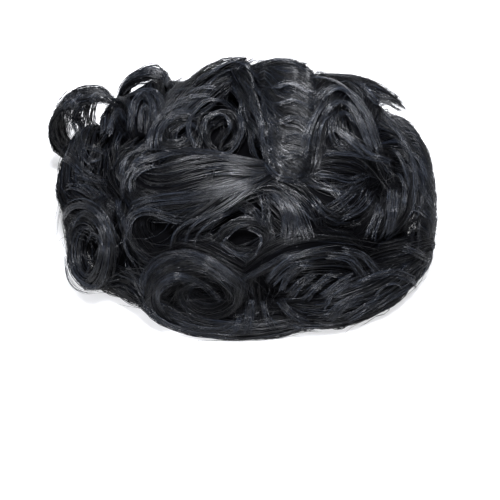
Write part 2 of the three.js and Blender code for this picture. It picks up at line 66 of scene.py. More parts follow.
# along: share of the half length; round: degrees from the near edge over the top; lift: share of the
# lock depth above the under-hair; wide, thick: shares of the lock's width and depth
bands = {
    "claw_wisp": [
        (0.15, 70, 0.85, 0.15, 0.4), (-0.03, 63, 0.95, 0.3, 0.5), (-0.2, 54, 0.95, 0.4, 0.5),
        (-0.33, 49, 0.8, 0.3, 0.5), (-0.37, 42, 0.5, 0.12, 0.4),
    ],
    "centre_ridge": [
        (-0.03, 133, 1.5, 0.4, 1.0), (-0.01, 118, 1.25, 0.45, 1.0), (0.05, 98, 0.9, 0.36, 0.8),
        (0.1, 86, 0.8, 0.3, 0.7), (0.14, 77, 0.6, 0.15, 0.5),
    ],
    "centre_wave": [
        (0.2, 134, 1.2, 1.15, 1.1), (0.22, 122, 1.4, 1.15, 1.2), (0.22, 105, 1.05, 1.1, 1.1),
        (0.23, 88, 0.85, 1.0, 1.0), (0.24, 78, 0.7, 0.85, 0.9), (0.25, 71, 0.4, 0.45, 0.6),
    ],
    "right_swirl": [
        (0.36, 76, 0.4, 0.4, 0.7), (0.37, 90, 0.7, 0.6, 0.9), (0.41, 112, 1.15, 0.8, 1.1),
        (0.52, 125, 1.35, 1.0, 1.2), (0.63, 118, 1.2, 0.9, 1.1), (0.66, 100, 0.8, 0.6, 0.9),
        (0.71, 88, 0.8, 0.35, 0.7), (0.76, 82, 0.7, 0.1, 0.4),
    ],
    "swirl_heart": [
        (0.5, 106, 0.4, 0.4, 0.7), (0.5, 98, 0.5, 0.5, 0.8), (0.55, 90, 0.5, 0.5, 0.8),
        (0.63, 87, 0.5, 0.3, 0.6),
    ],
    "big_swoop": [
        (-0.5, 87, 0.4, 0.35, 0.7), (-0.59, 80, 0.55, 0.5, 0.9), (-0.55, 69, 0.6, 0.85, 1.0),
        (-0.4, 65, 0.65, 1.2, 1.0), (-0.2, 69, 0.65, 1.2, 1.0), (0.0, 72, 0.6, 0.75, 0.9),
        (0.13, 74, 0.4, 0.25, 0.6),
    ],
    "back_left_sweep": [
        (-0.46, 98, 0.4, 0.5, 0.8), (-0.37, 109, 0.5, 0.95, 1.0), (-0.24, 121, 0.85, 1.2, 1.1),
        (-0.09, 128, 1.2, 1.0, 1.2),
    ],
    "highlight_fan": [
        (0.05, 67, 0.4, 0.35, 0.7), (0.16, 64, 0.6, 0.75, 0.9), (0.27, 57, 0.7, 0.95, 1.0),
        (0.34, 50, 0.6, 0.8, 0.9), (0.39, 43, 0.35, 0.3, 0.6),
    ],
    "smile_wave": [
        (0.3, 68, 0.3, 0.5, 0.6), (0.38, 62, 0.5, 0.7, 0.8), (0.49, 59, 0.6, 0.8, 0.9),
        (0.61, 62, 0.55, 0.7, 0.8), (0.7, 71, 0.35, 0.4, 0.6),
    ],
    "smooth_valley": [
        (0.34, 75, 0.3, 0.4, 0.5), (0.46, 79, 0.4, 0.7, 0.7), (0.58, 79, 0.4, 0.7, 0.7),
        (0.69, 75, 0.3, 0.4, 0.5),
    ],
    "right_inner_band": [
        (0.74, 122, 0.6, 0.45, 0.8), (0.83, 106, 0.9, 0.6, 1.0), (0.89, 84, 1.0, 0.7, 1.0),
        (0.87, 66, 1.0, 0.75, 1.0), (0.78, 57, 0.85, 0.8, 1.0), (0.67, 50, 0.5, 0.6, 0.8),
    ],
    "right_outer_band": [
        (0.84, 128, 1.0, 0.6, 1.1), (0.92, 111, 1.15, 0.7, 1.2), (0.955, 86, 1.0, 0.8, 1.2),
        (0.965, 56, 1.0, 0.8, 1.2), (0.955, 30, 0.9, 0.75, 1.1), (0.91, 10, 1.05, 0.6, 1.0),
    ],
    "lower_right_arch": [
        (0.01, 31, 0.5, 0.3, 0.7), (0.15, 39, 0.8, 0.5, 0.9), (0.29, 42, 0.95, 0.6, 1.0),
        (0.45, 43, 0.95, 0.6, 1.0), (0.6, 39, 0.8, 0.5, 0.9), (0.71, 30, 0.5, 0.25, 0.6),
    ],
    "lower_right_inner": [
        (0.13, 24, 0.4, 0.3, 0.6), (0.2, 33, 0.6, 0.45, 0.8), (0.34, 36, 0.7, 0.5, 0.9),
        (0.5, 35, 0.7, 0.5, 0.9), (0.62, 29, 0.6, 0.4, 0.7),
    ],
    "lower_lobe": [
        (0.2, 12, 0.6, 0.4, 0.8), (0.34, 11, 1.0, 0.75, 1.2), (0.52, 12, 1.05, 0.95, 1.4),
        (0.69, 14, 1.1, 0.9, 1.3), (0.84, 17, 1.15, 0.7, 1.2), (0.93, 21, 0.9, 0.35, 0.8),
    ],
    "lower_centre_band": [
        (-0.4, 43, 0.35, 0.3, 0.6), (-0.26, 43, 0.5, 0.45, 0.8), (-0.1, 38, 0.55, 0.45, 0.8),
        (0.02, 32, 0.4, 0.3, 0.6),
    ],
    "right_corner": [
        (0.6, 27, 0.5, 0.35, 0.6), (0.73, 29, 0.85, 0.5, 0.9), (0.86, 30, 1.15, 0.5, 1.0),
        (0.96, 22, 1.25, 0.35, 0.9),
    ],
    "hem_wave": [
        (-0.42, 7, 0.6, 0.35, 0.8), (-0.25, 4, 0.85, 0.55, 1.1), (-0.06, 3, 0.95, 0.65, 1.2),
        (0.14, 4, 0.9, 0.6, 1.2), (0.32, 6, 0.75, 0.4, 0.9),
    ],
    "valley_fan": [
        (0.05, 30, 0.3, 0.35, 0.6), (0.07, 22, 0.5, 0.7, 0.8), (0.08, 12, 0.5, 0.85, 0.9),
        (0.07, 5, 0.4, 0.7, 0.8),
    ],
    "left_barrel": [
        (-0.45, 60, 0.4, 0.35, 0.7), (-0.55, 55, 0.6, 0.5, 0.9), (-0.57, 46, 0.6, 0.55, 0.9),
        (-0.5, 38, 0.45, 0.45, 0.8), (-0.42, 37, 0.3, 0.25, 0.6),
    ],
    "front_fall": [
        (-0.87, 122, 0.9, 0.75, 1.1), (-0.89, 98, 1.15, 0.95, 1.2), (-0.9, 79, 1.15, 1.0, 1.2),
        (-0.88, 65, 1.05, 0.9, 1.1), (-0.79, 57, 0.5, 0.5, 0.7),
    ],
    "front_flat": [
        (-0.76, 18, 0.4, 0.45, 0.8), (-0.66, 18, 0.45, 0.6, 0.8), (-0.55, 16, 0.45, 0.6, 0.8),
        (-0.44, 13, 0.4, 0.45, 0.7),
    ],
}

# Degrees that a lock's rows roll about its middle line
rolls = {"claw_wisp": (0, 0, 10, 10, 0), "centre_ridge": (0, -10, -10, -10, 0)}

# along, round, lift at the outer end, lift at the heart, outer and inner radius as shares of the lock's
# width, start angle, angle covered, stretch along X, wide, thick
curls = {
    "pin_curl": (-0.12, 92, 0.55, 0.5, 0.48, 0.4, -110, -330, 0.85, 0.26, 1.1),
    "eye_curl": (0.0, 46, 0.7, 0.6, 0.4, 0.36, 190, -320, 1.3, 0.14, 0.4),
    "front_roll": (-0.23, 20, 0.98, 0.35, 1.0, 0.3, 235, -480, 1.13, 0.43, 1.2),
    "front_curl": (-0.82, 35, 1.3, 0.6, 0.86, 0.28, 75, -430, 0.86, 0.38, 1.2),
    "twin_curl": (-0.37, 91, 0.75, 0.5, 0.52, 0.26, 60, 330, 0.95, 0.34, 0.9),
    "small_curl": (-0.545, 80, 0.55, 0.4, 0.34, 0.26, 100, 300, 0.85, 0.2, 0.6),
}

# x, y, z as shares of the hair's half length, half width and height, then wide and thick
loops = {
    "front_loop": [
        (-0.97, 0.43, 0.1, 0.25, 0.3), (-1.06, 0.47, 0.28, 0.5, 0.3), (-1.05, 0.53, 0.52, 0.7, 0.3),
        (-0.95, 0.56, 0.67, 0.65, 0.32), (-0.8, 0.56, 0.7, 0.65, 0.34), (-0.71, 0.54, 0.6, 0.6, 0.36),
    ],
    "front_curtain": [
        (-0.85, 0.56, 0.7, 0.4, 0.4), (-0.89, 0.54, 0.58, 0.55, 0.5), (-0.9, 0.47, 0.47, 0.6, 0.6),
        (-0.88, 0.36, 0.44, 0.5, 0.6),
    ],
    "back_loop": [
        (-0.7, 0.57, 0.58, 0.3, 0.4), (-0.64, 0.61, 0.77, 0.5, 0.55), (-0.54, 0.62, 0.87, 0.62, 0.6),
        (-0.45, 0.61, 0.84, 0.58, 0.6), (-0.43, 0.58, 0.7, 0.4, 0.5),
    ],
    "front_barrel": [
        (-0.52, 0.62, 0.62, 0.6, 0.5), (-0.58, 0.5, 0.8, 1.0, 0.55), (-0.58, 0.36, 0.84, 1.15, 0.55),
        (-0.56, 0.22, 0.82, 1.0, 0.6), (-0.55, 0.1, 0.76, 0.6, 0.6),
    ],
    "back_tuft": [
        (-0.36, 0.5, 0.75, 0.5, 0.8), (-0.23, 0.6, 0.83, 0.7, 1.1), (-0.11, 0.66, 0.89, 0.55, 0.9),
        (0.01, 0.68, 0.98, 0.1, 0.3),
    ],
    "back_bump": [
        (-0.01, 0.66, 0.77, 0.5, 1.1), (0.12, 0.71, 0.79, 0.7, 1.4), (0.26, 0.71, 0.8, 0.7, 1.4),
        (0.38, 0.67, 0.71, 0.5, 1.0),
    ],
    "back_point": [
        (0.37, 0.65, 0.74, 0.5, 0.9), (0.53, 0.68, 0.7, 0.6, 1.1), (0.67, 0.67, 0.66, 0.6, 1.0),
        (0.79, 0.63, 0.57, 0.45, 0.8), (0.9, 0.58, 0.47, 0.08, 0.3),
    ],
}

# The locks of the far side have the same rows, side by side along the base
backFall = [
    (0.0, 128, 0.4, 0.6, 0.8), (0.02, 140, 0.62, 0.95, 1.25), (-0.02, 153, 0.62, 1.0, 1.25),
    (-0.01, 165, 0.5, 0.9, 1.0), (0.03, 173, 0.35, 0.6, 0.75),
]
backFallCount = 6
backFallReach = 0.74

# Strands, spread in mm at the first and the last place, and the places (along, round, lift) of each wisp
wisps = [
    (7, 0.8, 1.5, [(-0.16, 55, 1.2), (-0.27, 52, 1.2), (-0.35, 47, 1.0), (-0.39, 39, 0.5)]),
    (6, 0.8, 1.2, [(-0.11, 56, 1.2), (-0.22, 52, 1.1), (-0.29, 47, 0.9), (-0.3, 41, 0.8)]),
    (6, 0.8, 1.2, [(-0.1, 55, 1.0), (-0.2, 50, 1.1), (-0.25, 45, 0.9), (-0.24, 39, 1.1)]),
    (7, 1.5, 1.5, [(-0.06, 57, 1.0), (-0.14, 53, 1.0), (-0.2, 47, 0.7)]),
    (16, 2.5, 3.5, [(0.08, 68, 1.2), (-0.02, 62, 1.2), (-0.11, 57, 1.2), (-0.2, 54, 1.2), (-0.3, 53, 1.2)]),
    (8, 2, 0.5, [(0.04, 52, 0.9), (-0.04, 50, 0.7), (-0.09, 46, 0.5), (-0.13, 42, 1.0)]),
    (7, 0.5, 1.8, [(-0.13, 44, 0.9), (-0.08, 41, 0.9), (-0.03, 39, 0.8), (0.03, 38, 0.7)]),
    (8, 1, 1, [(0.0, 50, 0.8), (0.08, 47, 0.5), (0.08, 43, 0.8), (0.04, 38, 0.8), (-0.02, 38, 0.8)]),
    (18, 4, 5, [(-0.05, 60, 1.2), (0.03, 57, 0.2), (0.09, 50, 0.9)]),
    (40, 4, 5.5, [(0.12, 64, 1.0), (0.19, 58, 1.1), (0.22, 51, 1.1), (0.21, 43, 1.3)]),
    (30, 4, 4, [(0.18, 64, 1.1), (0.25, 57, 1.2), (0.29, 50, 1.2), (0.31, 44, 1.5)]),
    (12, 3, 3, [(0.09, 64, 1.0), (0.11, 56, 0.8), (0.1, 49, 0.9)]),
    (3, 0.5, 1, [(0.26, 59, 1.2), (0.32, 53, 1.1), (0.41, 53, 0.9)]),
    (14, 3, 3, [(0.32, 62, 1.0), (0.39, 56, 0.9), (0.49, 52, 0.8)]),
    (16, 1.2, 2, [(-0.01, 29, 0.9), (0.09, 34, 1.1), (0.18, 39, 1.3), (0.29, 41, 1.4)]),
    (18, 1.5, 2.5, [(0.11, 27, 0.7), (0.19, 36, 1.3), (0.29, 40, 1.4), (0.44, 41, 1.4)]),
    (16, 2, 2.5, [(0.13, 26, 0.9), (0.2, 33, 1.0), (0.27, 36, 1.2), (0.35, 36, 1.2)]),
    (12, 1.5, 2, [(0.22, 23, 0.4), (0.26, 33, 1.0), (0.33, 38, 1.3)]),
    (14, 1.2, 2, [(0.3, 21, 0.4), (0.39, 23, 0.0), (0.46, 31, 1.0)]),
    (10, 1.5, 1.5, [(0.36, 21, 1.1), (0.47, 21, -0.1), (0.51, 30, 1.0)]),
    (22, 2, 3, [(0.39, 39, 1.3), (0.52, 36, 1.2), (0.6, 26, 1.2)]),
    (18, 2.5, 2.5, [(0.21, 21, 1.1), (0.27, 27, 1.1), (0.36, 32, 1.1)]),
    (18, 2.5, 2.5, [(0.29, 19, 1.1), (0.35, 25, 1.1), (0.45, 31, 1.1)]),
    (18, 2.5, 2.5, [(0.37, 20, 1.3), (0.46, 25, 1.1), (0.55, 29, 1.1)]),
    (14, 2, 2.5, [(0.18, 23, 1.0), (0.2, 29, 1.0), (0.25, 36, 1.1)]),
    (18, 2, 2, [(0.46, 41, 1.4), (0.58, 37, 1.2), (0.67, 26, 1.3)]),
    (16, 1.5, 2, [(0.43, 21, 1.4), (0.51, 24, 1.2), (0.59, 24, 1.4)]),
    (10, 1.5, 2, [(0.37, 16, 1.6), (0.42, 21, 1.3), (0.49, 23, 1.2)]),
    (38, 3.5, 4, [(-0.49, 16, 1.2), (-0.53, 24, 0.6), (-0.46, 34, 0.6), (-0.33, 38, 0.8), (-0.18, 37, 1.4),
        (-0.06, 30, 1.3), (0.04, 21, 0.9)]),
    (22, 2.5, 2.5, [(-0.44, 16, 1.2), (-0.42, 26, 1.3), (-0.32, 31, 1.3), (-0.22, 25, 0.4),
        (-0.12, 19, 1.0)]),
    (14, 1.5, 2, [(-0.44, 37, 0.7), (-0.31, 40, 0.7), (-0.17, 38, 1.3), (-0.06, 30, 1.3)]),
    (10, 1.2, 1.5, [(-0.4, 9, 1.2), (-0.44, 18, 1.1), (-0.4, 25, 1.2), (-0.33, 27, 0.8), (-0.25, 23, 0.5)]),
    (30, 3, 3, [(-0.52, 17, 0.9), (-0.46, 10, 1.3), (-0.32, 4, 1.3), (-0.15, 4, 1.5), (-0.01, 3, 1.6)]),
    (14, 2, 2, [(-0.37, 7, 1.1), (-0.25, 7, 1.4), (-0.12, 7, 1.4), (-0.02, 11, 1.2)]),
    (12, 1.5, 2, [(-0.09, 3, 1.5), (-0.04, 8, 1.4), (-0.01, 13, 0.9)]),
    (20, 2, 4, [(0.04, 20, 0.9), (0.02, 11, 1.0), (0.0, 4, 1.6)]),
    (14, 1.5, 3, [(0.09, 19, 0.9), (0.11, 11, 1.1), (0.17, 5, 1.5)]),
    (16, 2, 3, [(0.2, 9, 1.3), (0.27, 7, 1.4), (0.37, 7, 1.7)]),
    (14, 3, 3, [(0.18, 18, 0.7), (0.23, 14, 1.3), (0.31, 10, 1.5)]),
    (34, 3, 4, [(0.34, 102, 1.4), (0.39, 111, 1.7), (0.51, 115, 1.7), (0.61, 106, 1.4), (0.66, 94, 1.2),
        (0.7, 85, 0.9)]),
    (26, 2.5, 3, [(0.38, 95, 1.3), (0.45, 105, 1.5), (0.55, 108, 1.2), (0.61, 97, 1.1), (0.67, 86, 0.9)]),
    (12, 1.5, 1.5, [(0.47, 99, 1.0), (0.54, 106, 0.9), (0.59, 98, 1.0)]),
    (24, 3, 3, [(0.37, 106, 1.5), (0.45, 113, 1.8), (0.56, 113, 1.6), (0.63, 102, 1.3)]),
    (20, 2.5, 2.5, [(0.43, 105, 1.4), (0.52, 110, 1.3), (0.58, 104, 1.2), (0.62, 94, 1.0),
        (0.67, 86, 0.9)]),
    (16, 2, 2, [(0.5, 95, 1.0), (0.55, 90, 0.9), (0.64, 86, 0.8), (0.72, 83, 0.8)]),
    (16, 2, 2, [(0.45, 98, 1.2), (0.44, 91, 1.1), (0.49, 87, 0.6), (0.55, 82, 0.8)]),
    (20, 2, 2, [(-0.01, 122, 1.9), (-0.02, 113, 1.6), (0.04, 106, 1.5), (0.03, 98, 1.3), (0.09, 91, 1.3),
        (0.07, 85, 1.0), (0.13, 79, 1.1), (0.16, 72, 1.0)]),
    (18, 2, 2, [(0.04, 127, 1.7), (0.03, 112, 1.6), (0.1, 105, 1.4), (0.09, 97, 1.3), (0.14, 90, 1.3),
        (0.12, 84, 1.1), (0.18, 77, 1.1), (0.22, 71, 1.0)]),
    (14, 2, 2, [(-0.06, 119, 1.6), (-0.06, 114, 1.1), (-0.01, 103, 1.3), (-0.02, 97, 0.9), (0.04, 89, 1.0),
        (0.03, 82, 0.9), (0.08, 76, 0.9)]),
    (14, 2.5, 2.5, [(0.09, 115, 1.5), (0.15, 109, 1.7), (0.22, 111, 1.8), (0.31, 109, 1.6),
        (0.37, 111, 1.7)]),
    (14, 2.5, 2.5, [(0.1, 104, 1.4), (0.16, 100, 1.5), (0.24, 102, 1.6), (0.31, 101, 1.4),
        (0.36, 102, 1.4)]),
    (14, 2.5, 2.5, [(0.11, 94, 1.3), (0.17, 91, 1.5), (0.25, 94, 1.4), (0.32, 92, 1.3), (0.36, 94, 1.2)]),
    (14, 2.5, 2.5, [(0.12, 86, 1.2), (0.18, 83, 1.4), (0.25, 85, 1.3), (0.31, 84, 1.3)]),
    (14, 2.5, 2.5, [(0.14, 79, 1.1), (0.2, 77, 1.1), (0.26, 78, 1.2), (0.32, 78, 1.0)]),
    (26, 3, 1.5, [(0.43, 98, 1.3), (0.48, 94, 0.9), (0.55, 88, 1.0), (0.65, 83, 0.8)]),
    (14, 2, 1.5, [(0.4, 82, 0.9), (0.5, 82, 0.8), (0.62, 83, 0.7), (0.75, 82, 0.9)]),
    (12, 1, 2, [(0.61, 86, 0.8), (0.69, 84, 0.7), (0.77, 83, 0.9)]),
    (22, 2.5, 2.5, [(0.41, 107, 1.6), (0.35, 96, 1.3), (0.3, 84, 1.3), (0.29, 76, 1.0)]),
    (16, 2, 2.5, [(0.46, 102, 1.3), (0.39, 94, 1.2), (0.36, 84, 1.0), (0.35, 78, 0.8)]),
    (16, 1.5, 1.5, [(0.31, 120, 1.9), (0.45, 118, 1.9), (0.59, 110, 1.5), (0.66, 95, 1.3)]),
    (30, 4.5, 6, [(0.76, 67, 1.3), (0.73, 55, 1.2), (0.75, 41, 0.6)]),
    (16, 2, 2.5, [(0.81, 79, 1.0), (0.79, 67, 1.4), (0.78, 58, 1.4)]),
    (16, 2.5, 3.5, [(0.69, 59, 1.1), (0.66, 51, 0.9), (0.62, 43, 1.1)]),
    (22, 2.5, 2.5, [(0.76, 115, 1.3), (0.81, 99, 1.4), (0.84, 85, 1.5), (0.85, 73, 1.5), (0.83, 59, 1.4)]),
    (16, 2, 3, [(0.79, 95, 1.0), (0.82, 81, 1.2), (0.82, 66, 1.4)]),
    (12, 3, 3, [(0.85, 95, 1.4), (0.89, 86, 1.5), (0.92, 76, 1.6)]),
    (12, 3, 3, [(0.85, 74, 1.5), (0.9, 66, 1.5), (0.95, 58, 1.6)]),
    (12, 3, 3, [(0.83, 59, 1.4), (0.92, 54, 1.2), (0.95, 46, 1.6)]),
    (12, 3, 3, [(0.79, 37, 1.3), (0.83, 33, 1.6), (0.91, 23, 1.7)]),
    (4, 0.5, 0.5, [(0.93, 33, 1.6), (0.91, 21, 1.7), (0.86, 14, 1.8)]),
    (16, 2, 2.5, [(0.33, 68, 0.7), (0.42, 65, 1.0), (0.52, 65, 1.0), (0.63, 71, 0.7)]),
    (12, 3, 2.5, [(0.36, 73, 0.6), (0.46, 72, 0.6), (0.57, 71, 0.5), (0.68, 76, 0.7)]),
    (6, 0.6, 0.8, [(0.46, 74, 0.6), (0.52, 72, 0.5), (0.58, 72, 0.5), (0.63, 75, 0.6)]),
    (14, 4, 4, [(0.57, 67, 0.9), (0.49, 61, 1.0), (0.4, 56, 0.9)]),
    (14, 4, 4, [(0.66, 66, 0.8), (0.58, 58, 1.0), (0.47, 53, 0.9)]),
    (12, 3, 3, [(0.38, 71, 0.5), (0.46, 62, 1.0), (0.53, 55, 1.0)]),
    (30, 3.5, 4, [(0.39, 10, 1.6), (0.47, 18, 1.7), (0.57, 19, 1.7)]),
    (24, 3.5, 3, [(0.48, 9, 1.8), (0.56, 14, 1.7), (0.67, 15, 1.7)]),
    (16, 2.5, 3, [(0.6, 11, 1.7), (0.69, 15, 1.7), (0.79, 14, 1.8)]),
    (20, 1.5, 2.5, [(0.55, 24, 1.2), (0.66, 26, 1.3), (0.75, 25, 1.5), (0.83, 14, 1.7)]),
    (12, 1.5, 1, [(0.74, 24, 1.6), (0.8, 18, 1.8), (0.82, 10, 1.9)]),
    (10, 1, 1, [(0.61, 16, 1.7), (0.65, 21, 1.6), (0.72, 21, 1.7), (0.76, 15, 1.7)]),
    (26, 2, 3, [(-0.66, 62, 0.5), (-0.61, 71, 1.0), (-0.51, 80, 0.6), (-0.32, 82, 0.7), (-0.1, 77, 1.1),
        (0.09, 73, 0.9)]),
    (30, 4.5, 3, [(-0.61, 57, 0.7), (-0.48, 60, 1.0), (-0.3, 61, 1.1), (-0.1, 63, 1.2), (0.09, 69, 1.2)]),
    (20, 4, 2, [(-0.22, 72, 1.1), (-0.06, 71, 1.2), (0.12, 71, 1.0)]),
    (14, 2.5, 2, [(-0.11, 61, 1.2), (-0.01, 65, 1.2), (0.1, 70, 1.1)]),
    (2, 0.4, 0.6, [(-0.14, 73, 1.2), (-0.16, 68, 1.1), (-0.15, 63, 1.0)]),
    (20, 2, 2, [(-0.51, 81, 0.6), (-0.48, 92, 1.1), (-0.39, 105, 1.0), (-0.24, 108, 1.0)]),
    (18, 2.5, 2.5, [(-0.45, 83, 0.8), (-0.43, 91, 1.1), (-0.35, 100, 1.1), (-0.25, 104, 0.6)]),
    (14, 2, 2, [(-0.37, 83, 1.1), (-0.38, 93, 0.6), (-0.3, 97, 0.6), (-0.22, 89, 1.0)]),
    (18, 2, 2, [(-0.23, 79, 0.9), (-0.3, 91, 0.9), (-0.26, 105, 0.7), (-0.15, 110, 0.8), (-0.05, 99, 1.1)]),
    (18, 1.5, 2, [(-0.2, 79, 1.1), (-0.09, 79, 0.9), (-0.03, 87, 0.7), (-0.03, 95, 1.1),
        (-0.12, 120, 0.1)]),
    (12, 1.5, 1.5, [(-0.21, 88, 1.0), (-0.2, 95, 1.1), (-0.12, 99, 0.9), (-0.08, 95, 0.5),
        (-0.13, 88, 0.4)]),
    (12, 1.5, 2, [(-0.62, 65, 0.9), (-0.64, 75, 0.9), (-0.6, 82, 1.0), (-0.49, 86, 0.8)]),
    (10, 1.5, 1.5, [(-0.58, 72, 1.1), (-0.55, 79, 1.0), (-0.5, 81, 0.6)]),
    (14, 2, 2, [(-0.57, 63, 1.0), (-0.57, 69, 1.1), (-0.52, 73, 1.1), (-0.44, 75, 1.0)]),
    (12, 3, 3, [(-0.92, 163, 2.2), (-0.82, 90, 1.5), (-0.76, 86, 0.7)]),
    (14, 3, 3, [(-0.91, 98, 1.8), (-0.82, 79, 1.5), (-0.78, 72, 0.5)]),
    (14, 3, 3, [(-0.88, 106, 1.8), (-0.83, 87, 1.6), (-0.8, 77, 0.8)]),
    (12, 2.5, 2.5, [(-0.85, 94, 1.8), (-0.8, 93, 1.2), (-0.74, 88, 0.5)]),
    (12, 3, 3, [(-0.86, 79, 1.8), (-0.81, 73, 1.2), (-0.72, 71, 0.6)]),
    (14, 3, 3, [(-0.88, 71, 1.8), (-0.82, 68, 1.3), (-0.72, 60, 1.1)]),
    (26, 3, 3, [(-0.94, 52, 1.4), (-0.85, 60, 1.4), (-0.72, 57, 1.6), (-0.66, 48, 1.4), (-0.68, 34, 0.2)]),
    (18, 2.5, 2, [(-0.87, 44, 1.5), (-0.83, 54, 1.1), (-0.69, 49, 1.6), (-0.65, 38, 1.0)]),
    (8, 1, 1, [(-0.85, 34, 0.8), (-0.78, 44, 1.0), (-0.68, 42, 1.6), (-0.68, 34, 1.6)]),
    (12, 2, 2, [(-0.89, 26, 1.6), (-0.84, 17, 1.6), (-0.74, 17, 1.6), (-0.68, 21, 1.0)]),
    (5, 0.5, 1, [(-0.9, 24, 1.6), (-0.86, 11, 1.7), (-0.81, 8, 1.5), (-0.72, 14, 1.3)]),
    (18, 2.5, 2.5, [(-0.6, 43, 0.9), (-0.57, 53, 1.1), (-0.48, 56, 1.0), (-0.37, 53, 0.8),
        (-0.25, 52, 1.2)]),
    (6, 0.6, 0.6, [(-0.6, 30, 0.4), (-0.61, 42, 1.0), (-0.56, 51, 1.0)]),
    (16, 2.5, 2.5, [(-0.69, 64, 0.5), (-0.66, 55, 0.6), (-0.59, 47, 1.0)]),
    (9, 2, 2.5, [(-0.02, 121, 1.9), (0.01, 108, 1.5), (0.06, 97, 1.3), (0.08, 87, 1.2), (0.1, 79, 0.9),
        (0.16, 71, 1.0)]),
    (7, 2, 2.5, [(-0.07, 119, 1.5), (-0.03, 107, 1.2), (0.01, 96, 0.9), (0.03, 90, 0.1), (0.06, 77, 0.9)]),
    (6, 2, 2.5, [(0.02, 123, 1.8), (0.08, 112, 1.4), (0.12, 100, 1.4), (0.14, 90, 1.3), (0.16, 81, 1.2),
        (0.22, 73, 0.9)]),
    (14, 2, 2.5, [(0.09, 79, 0.6), (0.16, 69, 1.1), (0.27, 69, 0.8), (0.36, 73, 0.6)]),
    (14, 2, 0.6, [(-0.26, 119, 1.4), (-0.15, 120, 2.0), (-0.01, 125, 2.5)]),
    (12, 2, 1.5, [(-0.22, 115, 1.3), (-0.1, 122, 1.7), (0.03, 128, 1.9)]),
    (10, 2, 2, [(-0.17, 120, 2.0), (-0.06, 124, 2.3), (0.02, 125, 1.8), (0.09, 116, 1.6)]),
    (14, 2, 2, [(0.05, 128, 1.9), (0.15, 128, 2.3), (0.25, 127, 2.1), (0.33, 118, 1.8)]),
    (18, 2, 2, [(-0.65, 122, 1.5), (-0.54, 115, 1.7), (-0.46, 111, 1.8), (-0.43, 106, 1.4),
        (-0.42, 98, 1.2)]),
    (14, 1.5, 2.5, [(-0.68, 128, 1.4), (-0.61, 125, 2.0), (-0.54, 124, 2.4), (-0.47, 126, 2.6)]),
    (14, 2, 2, [(-0.51, 123, 2.5), (-0.44, 124, 2.3), (-0.4, 121, 1.8), (-0.4, 109, 1.7)]),
    (12, 2, 2, [(-0.41, 113, 1.1), (-0.37, 117, 1.1), (-0.28, 114, 1.2)]),
    (14, 1.5, 1, [(0.59, 130, 2.0), (0.7, 132, 2.0), (0.82, 139, 2.1)]),
    (12, 2.5, 2.5, [(-0.31, 112, 1.1), (-0.23, 114, 1.2), (-0.12, 114, 1.1)]),
    (12, 2.5, 2.5, [(-0.37, 108, 1.0), (-0.26, 110, 1.1), (-0.17, 111, 0.9)]),
    (40, 4, 4, [(0.12, 13, 0.3), (0.35, 14, 0.35), (0.6, 16, 0.35), (0.86, 19, 0.3)]),
    (40, 4, 4, [(-0.45, 10, 0.3), (-0.2, 10, 0.3), (0.14, 11, 0.3)]),
    (40, 4, 4, [(0.15, 20, 0.2), (0.4, 22, 0.3), (0.65, 24, 0.3), (0.85, 26, 0.3)]),
    (24, 4, 4, [(0.84, 12, 0.3), (0.89, 18, 0.25), (0.92, 28, 0.3)]),
    (34, 3, 3, [(0.84, 5, 0.35), (0.92, 6, 0.4), (0.96, 7, 0.45), (0.98, 9, 0.45)]),
    (40, 2.5, 2.5, [(0.9758, 8, 0.45), (0.9955, 15, 0.45), (0.9995, 40, 0.45), (0.9998, 90, 0.45),
        (0.9995, 140, 0.45), (0.9955, 165, 0.45), (0.9758, 172, 0.45)]),
    (34, 3, 3, [(0.98, 171, 0.45), (0.96, 173, 0.45), (0.92, 174, 0.4), (0.84, 175, 0.35)]),
    (40, 5, 5, [(0.96, 20, 0.25), (0.98, 30, 0.25), (0.985, 50, 0.25), (0.975, 75, 0.25)]),
    (40, 5, 5, [(0.95, 22, 0.45), (0.965, 34, 0.45), (0.97, 50, 0.45), (0.965, 70, 0.45)]),
    (30, 3, 3, [(-0.17, 85, -0.1), (-0.12, 91, 0.4), (-0.08, 98, -0.1)]),
    (26, 4, 4, [(-0.02, 127, 2.0), (0.0, 138, 1.8), (0.01, 149, 1.3), (0.01, 160, 0.8)]),
    (28, 4, 4, [(0.08, 127, 2.3), (0.09, 138, 2.0), (0.09, 149, 1.3), (0.1, 160, 0.8)]),
    (28, 4, 4, [(0.18, 127, 2.4), (0.18, 138, 2.0), (0.18, 149, 1.3), (0.19, 160, 0.8)]),
    (28, 4, 4, [(0.28, 127, 2.3), (0.28, 138, 2.0), (0.28, 149, 1.3), (0.28, 160, 0.8)]),
    (26, 4, 4, [(0.38, 127, 1.9), (0.38, 138, 1.7), (0.37, 149, 1.3), (0.36, 160, 0.8)]),
]

